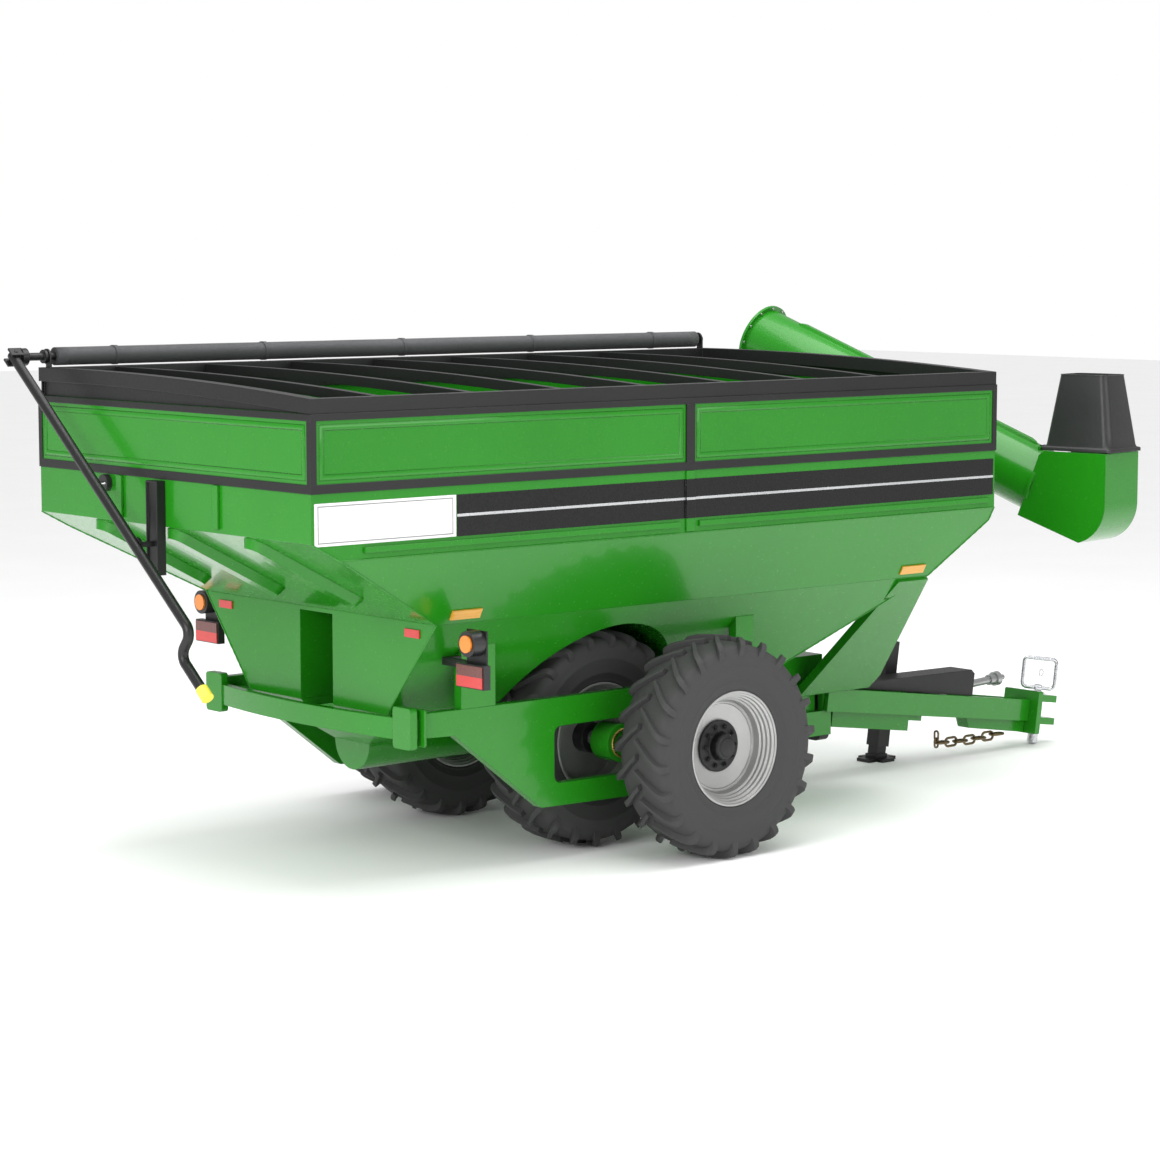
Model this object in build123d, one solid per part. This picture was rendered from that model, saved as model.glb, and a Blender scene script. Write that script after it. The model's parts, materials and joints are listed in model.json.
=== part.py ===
from build123d import *
import math
import os

# Grain cart, millimetres. Shapes are drawn with x forward from the tank's rear wall, y to the
# left of the centreline and z up from the ground. save() then moves each piece so that the
# origin is the hitch point: the drawbar pin's axis, midway between the clevis ears.

# Tank
TANK_LENGTH = 6800.0
TANK_HALF_WIDTH = 1740.0
SHEET = 10.0
WALL_TOP = 3433.0
BELT_TOP = 2960.0
BELT_BOTTOM = 2899.0
SIDE_WALL_BOTTOM = 2436.0
REAR_WALL_BOTTOM = 2560.0
FRONT_WALL_BOTTOM = 2330.0
SLOPE_BOTTOM = 1888.0
FUNNEL_REAR_X = 1278.0
FUNNEL_FRONT_X = TANK_LENGTH - 463.0
FUNNEL_HALF_WIDTH = TANK_HALF_WIDTH - 290.0
FUNNEL_BOTTOM = 1180.0
FUNNEL_FOOT_X = TANK_LENGTH - 1569.0
FUNNEL_FOOT_HALF_WIDTH = 860.0
RECESS_HALF_WIDTH = 205.0
RECESS_HEAD = 22.0    # sheet left between the recess and the slope above it
RECESS_DEPTH = 620.0
TRIM_PROUD = 8.0
MIDDLE_POST_X = TANK_LENGTH / 2 - 10.0
POST_WIDTH = 82.0
LIP_HEIGHT = 46.0
CORNER_WRAP = 40.0
BEAD_PROUD = 22.0
POST_PROUD = 14.0
CHANNEL_Y = 960.0
CHANNEL_LENGTH = 1090.0
CHANNEL_WIDTH = 210.0
CHANNEL_HEIGHT = 70.0
CHANNEL_MIDDLE = 560.0
STIFFENER_Y = 620.0

# Floor auger and sump
SUMP_REAR_X = 1600.0
SUMP_FRONT_X = TANK_LENGTH - 1820.0
TROUGH_RADIUS = 215.0
FLOOR_AUGER_Z = 850.0
SCREW_GAP = 20.0       # air between a flight and the sheet around it
FLOOR_SCREW_RADIUS = TROUGH_RADIUS - SHEET - SCREW_GAP
FLOOR_SCREW_PITCH = 380.0
BOOT_BOX_X = TANK_LENGTH - 800.0
BOOT_BOX_REACH = 290.0

# Wheels
TYRE_RADIUS = 830.0
TYRE_WIDTH = 510.0
TYRE_SIDEWALL = 26.0
TYRE_TREAD = 62.0
RIM_RADIUS = 434.0
RIM_WIDTH = 415.0
RIM_LIP = 10.0
BEAD_HALF = RIM_WIDTH / 2 - RIM_LIP - 6
OUTER_WHEEL_X = 3624.0
OUTER_WHEEL_Y = 1834.0
INNER_WHEEL_X = 3166.0
INNER_WHEEL_Y = 844.0
SPINDLE_RADIUS = 60.0
HUB_RADIUS = 118.0
WHEEL_BOLT_COUNT = 10
WHEEL_BOLT_CIRCLE = 335.0
TYRE_CLEARANCE = 75.0
WELL_RADIUS = TYRE_RADIUS + TYRE_CLEARANCE
WELL_INNER_Y = 560.0

# Frame
SIDE_PLATE_Y = 1250.0
SIDE_PLATE_THICKNESS = 80.0
BOSS_RADIUS = 147.0
BAR_HEIGHT = 155.0
BAR_END_X = 1215.0
BAR_END_Y = 1160.0
BAR_Z = 1122.0
BAR_BOW = 110.0
BAR_PLATE_Y = 1190.0

# Hitch and tongue, drawn level and then tipped nose down by TONGUE_TILT
HITCH_X = TANK_LENGTH + 2575.0
HITCH_Z = 321.0
TONGUE_TILT = 8.0
TONGUE_LENGTH = 3068.0
RAIL_HEIGHT = 195.0
RAIL_TOP = 85.0
RAIL_THICKNESS = 42.0
RAIL_REAR_Y = 330.0
RAIL_FRONT_Y = 112.0
CLEVIS_GAP = 144.0
EAR_THICKNESS = 62.0
EAR_WIDTH = 170.0
EAR_REACH = 215.0
PIN_RADIUS = 48.0
PIN_BELOW = 318.0
HANDLE_TURN = 52.0
PTO_RADIUS = 34.0
PTO_SETBACK = 585.0
PTO_FRONT_Z = 652.0
PTO_REAR_Z = 516.0
PTO_GUARD_RADIUS = 58.0
STUB_RADIUS = 22.2
STUB_LENGTH = 75.0
JACK_Y = 312.0
JACK_TUBE = 140.0
JACK_LEG = 112.0

# Unloading auger
TUBE_RADIUS = 280.0
TUBE_WALL = 8.0
FLANGE_LIP = 40.0
FLANGE_RADIUS = TUBE_RADIUS + FLANGE_LIP
FLANGE_THICKNESS = 24.0
HINGE_OFFSET = 72.0
HINGE_REACH = FLANGE_RADIUS + HINGE_OFFSET
KNUCKLE_RADIUS = 46.0
HINGE_PIN_RADIUS = 24.0
FOLDED_TOP = (TANK_LENGTH + 900.0, TANK_HALF_WIDTH + 166.0, 3706.0)
FOLDED_SEAM = (TANK_LENGTH + 1360.0, -1108.0, 2525.0)
SCREW_RADIUS = TUBE_RADIUS - TUBE_WALL - 1.1 * SCREW_GAP
SCREW_PITCH = 480.0
SCREW_SHAFT_RADIUS = 45.0

# Tarp and its crank
RAIL_SIZE = 100.0
RIM_RIGHT = 3536.0
RIM_MIDDLE = 3622.0
RIM_LEFT = 3642.0
BOW_COUNT = 7
BOW_FIRST_X = 640.0
BOW_PITCH = (TANK_LENGTH - 1095.0) / BOW_COUNT
ROLL_RADIUS = 73.0
ROLL_Y = TANK_HALF_WIDTH - 5.0
ROLL_Z = 3722.0
ROLL_REAR_X = 130.0
ROLL_FRONT_X = TANK_LENGTH - 110.0
CRANK_RADIUS = 38.0
CRANK_HEAD = 28.0     # rod beyond the joint pin, short enough to turn in the fork

ROLL_SHAFT_RADIUS = 30.0
YOKE_X = -215.0
CRANK_DOWN = Vector(0, -0.785, -0.6195).normalized()
CRANK_PIN = CRANK_DOWN.cross(Vector(-1, 0, 0)).normalized()
CRANK_LENGTH = 2975.0
CRANK_THROW = 225.0

# Spout and drive case
HEAD_WALL = 20.0
HEAD_HALF_WIDTH = TUBE_RADIUS - TUBE_WALL - 7.0
SPOUT_OUT = 450.0
SPOUT_BASE = 302.0
SPOUT_HEIGHT = 645.0
CASE_X = TANK_LENGTH - 415.0

# Lamps
LAMP_X = 1414.0
LAMP_Y = TANK_HALF_WIDTH - 86.0

FIT = 0.1        # radial clearance of a running fit
GAP = 3.0        # air between parts that pass each other
UPWARD = (Align.CENTER, Align.CENTER, Align.MIN)


def save(name, shape):
    """Move a piece to the hitch origin and write it."""
    moved = Pos(-HITCH_X, 0, -HITCH_Z) * shape
    export_step(moved, "parts/" + name + ".step")


def group(parts):
    """Several separate solids as one piece."""
    return Compound(children=list(parts))


def mirror_y(shape):
    return mirror(shape, about=Plane.XZ)


def both_sides(shape):
    return group([shape, mirror_y(shape)])


def block(x0, x1, y0, y1, z0, z1):
    middle = ((x0 + x1) / 2, (y0 + y1) / 2, (z0 + z1) / 2)
    return Pos(*middle) * Box(abs(x1 - x0), abs(y1 - y0), abs(z1 - z0))


def side_prism(points, y0, y1):
    """A profile in x and z, as wide as y0 to y1."""
    outline = Polyline(*[(x, y0, z) for x, z in points], close=True)
    return extrude(make_face(outline), amount=y1 - y0, dir=(0, 1, 0))


def end_prism(points, x0, x1):
    """A profile in y and z, as long as x0 to x1."""
    outline = Polyline(*[(x0, y, z) for y, z in points], close=True)
    return extrude(make_face(outline), amount=x1 - x0, dir=(1, 0, 0))


def rod(start, end, radius):
    """A round bar from one point to another."""
    along = Vector(*end) - Vector(*start)
    place = Plane(origin=start, z_dir=along)
    return place * Cylinder(radius, along.length, align=UPWARD)


def pipe(start, end, radius, bore):
    along = Vector(*end) - Vector(*start)
    place = Plane(origin=start, z_dir=along)
    outer = Cylinder(radius, along.length, align=UPWARD)
    inner = Cylinder(bore, along.length, align=UPWARD)
    return place * (outer - inner)


def disc_y(x, y0, y1, z, radius):
    return rod((x, y0, z), (x, y1, z), radius)


def point_on(start, direction, distance):
    return tuple(Vector(*start) + direction * distance)


# ---------------------------------------------------------------- tank

def tank_profiles(inset):
    """The tank's side and end outlines, moved inwards by inset."""
    side = [
        (0, WALL_TOP + 100), (TANK_LENGTH, WALL_TOP + 100), (TANK_LENGTH, FRONT_WALL_BOTTOM),
        (FUNNEL_FRONT_X, SLOPE_BOTTOM), (FUNNEL_FOOT_X, FUNNEL_BOTTOM), (SUMP_FRONT_X, FLOOR_AUGER_Z),
        (SUMP_FRONT_X, FLOOR_AUGER_Z - 100), (SUMP_REAR_X, FLOOR_AUGER_Z - 100),
        (SUMP_REAR_X, FLOOR_AUGER_Z), (FUNNEL_REAR_X, FUNNEL_BOTTOM), (FUNNEL_REAR_X, SLOPE_BOTTOM),
        (0, REAR_WALL_BOTTOM),
    ]
    half = [
        (TANK_HALF_WIDTH, WALL_TOP + 100), (TANK_HALF_WIDTH, SIDE_WALL_BOTTOM),
        (FUNNEL_HALF_WIDTH, SLOPE_BOTTOM), (FUNNEL_FOOT_HALF_WIDTH, FUNNEL_BOTTOM),
        (TROUGH_RADIUS, FLOOR_AUGER_Z), (TROUGH_RADIUS, FLOOR_AUGER_Z - 100),
    ]
    end = half + [(-y, z) for y, z in reversed(half)]
    side_face = make_face(Polyline(*[(x, 0, z) for x, z in side], close=True))
    end_face = make_face(Polyline(*[(0, y, z) for y, z in end], close=True))
    if inset:
        side_face = offset(side_face, amount=-inset, kind=Kind.INTERSECTION)
        end_face = offset(end_face, amount=-inset, kind=Kind.INTERSECTION)
    width = 2 * TANK_HALF_WIDTH + 200
    wide = Pos(0, -width / 2, 0) * extrude(side_face, amount=width, dir=(0, 1, 0))
    long = extrude(end_face, amount=TANK_LENGTH + 200, dir=(1, 0, 0))
    return wide & long


def tank_body(inset):
    """The tank as a full block, with its wheel wells, rear recess and trough."""
    body = tank_profiles(inset)
    floor = block(0, TANK_LENGTH, -2000, 2000, FLOOR_AUGER_Z - 200, FLOOR_AUGER_Z)
    body -= floor
    trough = rod((SUMP_REAR_X + inset, 0, FLOOR_AUGER_Z), (SUMP_FRONT_X - inset, 0, FLOOR_AUGER_Z),
                 TROUGH_RADIUS - inset)
    body += trough
    well_radius = WELL_RADIUS + inset
    for side in (1, -1):
        body -= disc_y(INNER_WHEEL_X, side * (WELL_INNER_Y - inset), side * 1600, TYRE_RADIUS, well_radius)
    body -= block(FUNNEL_REAR_X - 10, FUNNEL_REAR_X + RECESS_DEPTH + inset, -RECESS_HALF_WIDTH - inset,
                  RECESS_HALF_WIDTH + inset, FUNNEL_BOTTOM - 60, SLOPE_BOTTOM - RECESS_HEAD - SHEET + inset)
    return body


def between(shape, low, high):
    return shape & block(-500, 8000, -2500, 2500, low, high)


def tank_pieces(full, tube_path):
    """Cut the tank's skin into its bands and save them."""
    skin = full - tank_body(SHEET)
    skin -= tube_path
    skin -= rod((SUMP_FRONT_X - 60, 0, FLOOR_AUGER_Z), (BOOT_BOX_X - 400, 0, FLOOR_AUGER_Z),
                TROUGH_RADIUS - SHEET)
    save("tank_sump", between(skin, 0, FUNNEL_BOTTOM))
    save("tank_funnel", between(skin, FUNNEL_BOTTOM, SLOPE_BOTTOM))
    save("tank_hopper", between(skin, SLOPE_BOTTOM, BELT_BOTTOM))
    band = between(skin, BELT_BOTTOM, WALL_TOP)
    side_cut = block(-10, TANK_LENGTH + 10, -2000, -TANK_HALF_WIDTH + SHEET, 0, 4000)
    ends = band - side_cut - mirror_y(side_cut)
    save("upper_walls", group([band & side_cut, band & mirror_y(side_cut)] + ends.solids()))


def tank_trim():
    """Black belt, corner strips, middle posts and top lip on the outside of the tank."""
    strips = []
    ring = block(-TRIM_PROUD, TANK_LENGTH + TRIM_PROUD, -TANK_HALF_WIDTH - TRIM_PROUD,
                 TANK_HALF_WIDTH + TRIM_PROUD, BELT_BOTTOM, BELT_TOP)
    core = block(0, TANK_LENGTH, -TANK_HALF_WIDTH, TANK_HALF_WIDTH, BELT_BOTTOM - 10, WALL_TOP + 10)
    strips.append(ring - core)
    lip = block(-TRIM_PROUD, TANK_LENGTH + TRIM_PROUD, -TANK_HALF_WIDTH - TRIM_PROUD,
                TANK_HALF_WIDTH + TRIM_PROUD, WALL_TOP - LIP_HEIGHT, WALL_TOP)
    strips.append(lip - core)
    for x in (0, TANK_LENGTH):
        for y in (-TANK_HALF_WIDTH, TANK_HALF_WIDTH):
            post = block(x - TRIM_PROUD, x + TRIM_PROUD, y - TRIM_PROUD, y + TRIM_PROUD,
                         BELT_TOP, WALL_TOP - LIP_HEIGHT)
            x0, x1 = sorted((x, x + math.copysign(CORNER_WRAP, TANK_LENGTH / 2 - x)))
            y0, y1 = sorted((y, y - math.copysign(CORNER_WRAP, y)))
            wrap_x = block(x0, x1, y - TRIM_PROUD, y + TRIM_PROUD, BELT_TOP, WALL_TOP - LIP_HEIGHT)
            wrap_y = block(x - TRIM_PROUD, x + TRIM_PROUD, y0, y1, BELT_TOP, WALL_TOP - LIP_HEIGHT)
            strips.append(post + wrap_x + wrap_y - core)
    for side in (1, -1):
        y = side * TANK_HALF_WIDTH
        y0, y1 = sorted((y, y + side * POST_PROUD))
        x1 = MIDDLE_POST_X + POST_WIDTH
        strips.append(block(MIDDLE_POST_X, x1, y0, y1, BELT_TOP, WALL_TOP - LIP_HEIGHT))
    return group(strips)


def tank_ribs():
    """Raised channels on the rear slope, beads on the side walls and posts under the belt."""
    ribs = []
    run = Vector(FUNNEL_REAR_X, 0, SLOPE_BOTTOM) - Vector(0, 0, REAR_WALL_BOTTOM)
    slope = Plane(origin=(0, 0, REAR_WALL_BOTTOM), x_dir=run, z_dir=Vector(run.Z, 0, -run.X))
    for y in (-CHANNEL_Y, 0, CHANNEL_Y):
        wide = Pos(CHANNEL_MIDDLE, y) * SlotOverall(CHANNEL_LENGTH, CHANNEL_WIDTH)
        narrow = Pos(CHANNEL_MIDDLE, y) * SlotOverall(CHANNEL_LENGTH - 60, CHANNEL_WIDTH - 60)
        raised = slope * Pos(0, 0, CHANNEL_HEIGHT) * narrow
        ribs.append(loft([slope * wide, raised]))
    for y in (-STIFFENER_Y, STIFFENER_Y):
        ribs.append(block(-22, 0, y - 34, y + 34, REAR_WALL_BOTTOM + 30, BELT_BOTTOM - 4))
    for side in (1, -1):
        y = side * TANK_HALF_WIDTH
        y0, y1 = sorted((y, y + side * BEAD_PROUD))
        for x0, x1 in ((430, MIDDLE_POST_X - 60), (MIDDLE_POST_X + 130, TANK_LENGTH - 80)):
            ribs.append(block(x0, x1, y0, y1, SIDE_WALL_BOTTOM + 44, SIDE_WALL_BOTTOM + 84))
        y0, y1 = sorted((y, y + side * POST_PROUD))
        x1 = MIDDLE_POST_X + POST_WIDTH
        ribs.append(block(MIDDLE_POST_X, x1, y0, y1, SIDE_WALL_BOTTOM + 10, BELT_BOTTOM - 4))
    return group(ribs)


# ---------------------------------------------------------------- frame and wheels

def side_plate():
    """Right-hand frame plate with its window, which carries both right-hand spindles."""
    outline = [
        (1280, 1238), (1280, 1062), (1562, 1052), (2372, 429), (4050, 405), (4650, 960), (4650, 1232),
    ]
    window = [(2499, 1022), (2499, 596), (3240, 590), (3240, 1026)]
    y0 = -SIDE_PLATE_Y - SIDE_PLATE_THICKNESS / 2
    y1 = y0 + SIDE_PLATE_THICKNESS
    plate = side_prism(outline, y0, y1)
    plate = fillet(plate.edges().filter_by(Axis.Y), 40)
    hole = side_prism(window, y0 - 5, y1 + 5)
    hole = fillet(hole.edges().filter_by(Axis.Y), 60)
    plate -= hole
    for x in (INNER_WHEEL_X, OUTER_WHEEL_X):
        plate -= disc_y(x, y0 - 5, y1 + 5, TYRE_RADIUS, BOSS_RADIUS)
    return plate


def spindle_set():
    """Bosses welded into the side plate, and the spindles fixed in them."""
    y_in = -SIDE_PLATE_Y + SIDE_PLATE_THICKNESS / 2
    y_out = -SIDE_PLATE_Y - SIDE_PLATE_THICKNESS / 2
    inner_boss = disc_y(INNER_WHEEL_X, y_out - 4, y_in + 120, TYRE_RADIUS, BOSS_RADIUS)
    inner_boss -= disc_y(INNER_WHEEL_X, y_out - 10, y_in + 130, TYRE_RADIUS, SPINDLE_RADIUS)
    inner_boss -= disc_y(INNER_WHEEL_X, y_out - 10, y_out + 16, TYRE_RADIUS, SPINDLE_RADIUS + 32)
    outer_boss = disc_y(OUTER_WHEEL_X, y_in + 4, y_out - 150, TYRE_RADIUS, BOSS_RADIUS)
    outer_boss -= disc_y(OUTER_WHEEL_X, y_in + 10, y_out - 160, TYRE_RADIUS, SPINDLE_RADIUS)
    inner_spindle = disc_y(INNER_WHEEL_X, y_out + 18, -INNER_WHEEL_Y + 90, TYRE_RADIUS, SPINDLE_RADIUS)
    outer_spindle = disc_y(OUTER_WHEEL_X, y_in + 4, -OUTER_WHEEL_Y - 90, TYRE_RADIUS, SPINDLE_RADIUS)
    washer = disc_y(INNER_WHEEL_X, y_out - 2, y_out + 14, TYRE_RADIUS, SPINDLE_RADIUS + 31)
    washer -= disc_y(INNER_WHEEL_X, y_out - 5, y_out + 20, TYRE_RADIUS, SPINDLE_RADIUS)
    return [inner_boss, outer_boss], [inner_spindle, outer_spindle], [washer]


def tyre(x, y):
    """Flotation tyre as one closed ring."""
    half = TYRE_WIDTH / 2
    profile = [
        (RIM_RADIUS - 14, -BEAD_HALF), (RIM_RADIUS + 16, -BEAD_HALF - 10.7),
        (0.72 * TYRE_RADIUS, -half), (0.86 * TYRE_RADIUS, -half),
        (0.955 * TYRE_RADIUS, -0.86 * half), (TYRE_RADIUS, -0.62 * half), (TYRE_RADIUS, 0.62 * half),
        (0.955 * TYRE_RADIUS, 0.86 * half), (0.86 * TYRE_RADIUS, half), (0.72 * TYRE_RADIUS, half),
        (RIM_RADIUS + 16, BEAD_HALF + 10.7), (RIM_RADIUS - 14, BEAD_HALF),
    ]
    section = make_face(Polyline(*[(r, 0, w) for r, w in profile], close=True))
    wall = TYRE_SIDEWALL
    inside = [
        (RIM_RADIUS - 30, -BEAD_HALF + 50), (0.72 * TYRE_RADIUS, -half + wall),
        (0.86 * TYRE_RADIUS, -half + wall),
        (TYRE_RADIUS - TYRE_TREAD, -0.66 * half), (TYRE_RADIUS - TYRE_TREAD, 0.66 * half),
        (0.86 * TYRE_RADIUS, half - wall), (0.72 * TYRE_RADIUS, half - wall),
        (RIM_RADIUS - 30, BEAD_HALF - 50),
    ]
    cavity = make_face(Polyline(*[(r, 0, w) for r, w in inside], close=True))
    ring = revolve(section - cavity, axis=Axis.Z, revolution_arc=360)
    return Pos(x, y, TYRE_RADIUS) * Rot(90, 0, 0) * ring


def rim(x, y, outward):
    """Deep-dished rim: barrel with two lips, and the disc that bolts to the hub."""
    half = RIM_WIDTH / 2
    thick = 9
    seat = RIM_RADIUS - 34
    well = RIM_RADIUS - 74
    barrel = [
        (RIM_RADIUS, -half), (RIM_RADIUS, -half + RIM_LIP), (seat + 4, -half + 18), (seat, -half + 70),
        (well, -half + 100), (well, half - 100), (seat, half - 70), (seat + 4, half - 18),
        (RIM_RADIUS, half - RIM_LIP), (RIM_RADIUS, half), (seat - 6, half - 2), (seat - thick, half - 66),
        (well - thick, half - 96), (well - thick, -half + 96), (seat - thick, -half + 66),
        (seat - 6, -half + 2),
    ]
    section = make_face(Polyline(*[(r, 0, w) for r, w in barrel], close=True))
    ring = revolve(section, axis=Axis.Z, revolution_arc=360)
    disc = Pos(0, 0, -22) * Cylinder(well - thick + 2, 16)
    cone = Pos(0, 0, -22) * Cylinder(245, 34)
    wheel = ring + disc + cone
    wheel -= Cylinder(HUB_RADIUS + 0.5, 200)
    for k in range(WHEEL_BOLT_COUNT):
        angle = math.radians(360 / WHEEL_BOLT_COUNT * k)
        at = Pos(WHEEL_BOLT_CIRCLE / 2 * math.cos(angle), WHEEL_BOLT_CIRCLE / 2 * math.sin(angle), -22)
        wheel -= at * Cylinder(12, 60)
    turn = Rot(90, 0, 0) if outward < 0 else Rot(-90, 0, 0)
    return Pos(x, y, TYRE_RADIUS) * turn * wheel


def hub(x, y, outward):
    """Hub that turns on the spindle, its cap and its ring of wheel bolts."""
    flange = Pos(0, 0, -22 - 17 - 11) * Cylinder(205, 21.9)
    barrel = Pos(0, 0, -12) * Cylinder(HUB_RADIUS, 210)
    cap = Pos(0, 0, 120) * Cylinder(92, 56)
    body = flange + barrel + cap
    body = body - Pos(0, 0, -30) * Cylinder(SPINDLE_RADIUS + FIT, 250)
    body = body - Pos(0, 0, 60) * Cylinder(SPINDLE_RADIUS + FIT, 100)
    studs = []
    for k in range(WHEEL_BOLT_COUNT):
        angle = math.radians(360 / WHEEL_BOLT_COUNT * k)
        px = WHEEL_BOLT_CIRCLE / 2 * math.cos(angle)
        py = WHEEL_BOLT_CIRCLE / 2 * math.sin(angle)
        stud = Pos(px, py, -13) * Cylinder(11, 60)
        nut = Pos(px, py, 6) * extrude(RegularPolygon(21, 6), amount=20)
        studs.append(stud + nut)
    turn = Rot(90, 0, 0) if outward < 0 else Rot(-90, 0, 0)
    body = body + studs
    return Pos(x, y, TYRE_RADIUS) * turn * body


WHEELS = {
    "outer_right": (OUTER_WHEEL_X, -OUTER_WHEEL_Y, -1),
    "inner_right": (INNER_WHEEL_X, -INNER_WHEEL_Y, 1),
    "inner_left": (INNER_WHEEL_X, INNER_WHEEL_Y, -1),
    "outer_left": (OUTER_WHEEL_X, OUTER_WHEEL_Y, 1),
}


def cross_frame(full):
    """Cross beams between the side plates, and the rails that run forward to the tongue."""
    inner = SIDE_PLATE_Y - SIDE_PLATE_THICKNESS / 2
    rear = block(1330, 1440, -inner, -600, 1060, 1170)
    front = block(4210, 4400, -inner, inner, 430, 610)
    y0 = TROUGH_RADIUS + GAP
    y1 = RAIL_REAR_Y - RAIL_THICKNESS - 8
    end = TANK_LENGTH - 380
    rails = block(4230, end, y0, y1, 430, 640) + block(end - 95, end, y0, y1, 430, 822)
    stub = rear - full
    return group([stub, mirror_y(stub), front + rails + mirror_y(rails)])


def rear_bar():
    """Bowed bar across the back, with an end plate and channel clamp on each end."""
    path = ThreePointArc((BAR_END_X, -BAR_END_Y, BAR_Z), (BAR_END_X - BAR_BOW, 0, BAR_Z),
                         (BAR_END_X, BAR_END_Y, BAR_Z))
    section = Plane(origin=path @ 0, z_dir=path % 0) * Rectangle(60, BAR_HEIGHT)
    first = sweep(section, path=path)
    size = first.bounding_box().size
    if size.Z < BAR_HEIGHT - 5:
        section = Plane(origin=path @ 0, z_dir=path % 0) * Rectangle(BAR_HEIGHT, 60)
        first = sweep(section, path=path)
    ends = []
    for side in (1, -1):
        y = side * BAR_PLATE_Y
        face = block(BAR_END_X - 55, BAR_END_X + 5, y - 105, y + 105, BAR_Z - 137, BAR_Z + 163)
        face = fillet(face.edges().filter_by(Axis.X), 28)
        neck = block(BAR_END_X + 5, BAR_END_X + 45, y - 60, y + 60, BAR_Z - 60, BAR_Z + 90)
        y_frame = side * SIDE_PLATE_Y
        flange = block(BAR_END_X + 45, 1280, y_frame - 75, y_frame + 60, BAR_Z - 120, BAR_Z + 150)
        flange = fillet(flange.edges().filter_by(Axis.X), 18)
        ends += [face, neck, flange]
    return first, ends


def support_posts():
    """Upright plates that stand on the side plates and carry the tank."""
    posts = []
    for x0, x1 in ((1625, 1940), (4340, 4530)):
        top = FUNNEL_BOTTOM + (SIDE_PLATE_Y - FUNNEL_FOOT_HALF_WIDTH) / (
            FUNNEL_HALF_WIDTH - FUNNEL_FOOT_HALF_WIDTH) * (SLOPE_BOTTOM - FUNNEL_BOTTOM)
        half = SIDE_PLATE_THICKNESS / 2
        rise = half * (SLOPE_BOTTOM - FUNNEL_BOTTOM) / (FUNNEL_HALF_WIDTH - FUNNEL_FOOT_HALF_WIDTH)
        outline = [
            (-SIDE_PLATE_Y - half, 1238), (-SIDE_PLATE_Y + half, 1238), (-SIDE_PLATE_Y + half, top - rise),
            (-SIDE_PLATE_Y - half, top + rise),
        ]
        posts.append(end_prism(outline, x0, x1))
    return posts


def brace_plate():
    """Flat brace from the tank's front corner down to the tongue."""
    foot = Vector(0, -RAIL_REAR_Y - 10, 830)
    head = Vector(0, -FUNNEL_HALF_WIDTH + 20, SLOPE_BOTTOM - 6)
    up = head - foot
    plane = Plane(origin=tuple(foot), x_dir=(1, 0, 0), z_dir=Vector(1, 0, 0).cross(up))
    reach = up.length
    front = TANK_LENGTH
    outline = [(front - 840, 0), (front - 10, 0), (front, 170), (front - 465, reach), (front - 810, reach)]
    return extrude(plane * make_face(Polyline(*outline, close=True)), amount=36, both=True)


# ---------------------------------------------------------------- tongue

TONGUE = Location((HITCH_X, 0, HITCH_Z), (0, TONGUE_TILT, 0))
TONGUE_AXIS = Vector(math.cos(math.radians(TONGUE_TILT)), 0, -math.sin(math.radians(TONGUE_TILT)))
TONGUE_UP = Vector(math.sin(math.radians(TONGUE_TILT)), 0, math.cos(math.radians(TONGUE_TILT)))


def tongue_rails():
    """Two converging rails, the web plate under them and the gusset behind the hitch."""
    low = RAIL_TOP - RAIL_HEIGHT
    rail = Polyline(
        (-TONGUE_LENGTH, -RAIL_REAR_Y), (-215, -RAIL_FRONT_Y), (-215, -RAIL_FRONT_Y + RAIL_THICKNESS),
        (-TONGUE_LENGTH, -RAIL_REAR_Y + RAIL_THICKNESS), close=True)
    right = Pos(0, 0, low) * extrude(make_face(rail), amount=RAIL_HEIGHT)
    web = block(-2840, -1885, -180, 180, low - 140, low)
    web -= block(-2850, -1900, -120, 120, low - 150, low - 24)
    step = block(-1885, -1690, -150, 150, low - 50, low)
    gusset_outline = [(-1010, low), (-960, low - 95), (-215, low - 105), (-215, low)]
    gusset = side_prism(gusset_outline, -66, 66)
    whole = right + mirror_y(right) + web + step + gusset
    front_end, rear_end = pto_line()
    return TONGUE * whole - rod(tuple(rear_end), tuple(front_end), PTO_GUARD_RADIUS + 18)


def hitch_head():
    """End plate with the clevis ears that the drawbar pin passes through."""
    plate = block(-215, -155, -205, 205, -220, 170)
    plate = fillet(plate.edges().filter_by(Axis.X), 18)
    ears = []
    for low in (CLEVIS_GAP / 2, -CLEVIS_GAP / 2 - EAR_THICKNESS):
        ear = block(-155, EAR_REACH, -EAR_WIDTH / 2, EAR_WIDTH / 2, low, low + EAR_THICKNESS)
        ear = chamfer(ear.edges().filter_by(Axis.Z).group_by(Axis.X)[-1], 34)
        ears.append(ear)
    head = plate + ears[0] + ears[1]
    head -= Cylinder(PIN_RADIUS + FIT, 600)
    return TONGUE * head


def hitch_pin():
    shank = Pos(0, 0, -PIN_BELOW) * Cylinder(PIN_RADIUS, PIN_BELOW + CLEVIS_GAP / 2 + EAR_THICKNESS + 30,
                                             align=UPWARD)
    shank = chamfer(shank.edges().group_by(Axis.Z)[0], 10)
    collar_z = CLEVIS_GAP / 2 + EAR_THICKNESS
    collar = Pos(0, 0, collar_z) * Cylinder(PIN_RADIUS + 24, 22, align=UPWARD)
    eye = Pos(0, 0, collar_z + 52) * Rot(90, 0, 0) * Cylinder(40, 60)
    eye -= Pos(0, 0, collar_z + 60) * Rot(90, 0, 0) * Cylinder(17.2, 90)
    return TONGUE * (shank + collar + Rot(0, 0, HANDLE_TURN) * eye)


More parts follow.
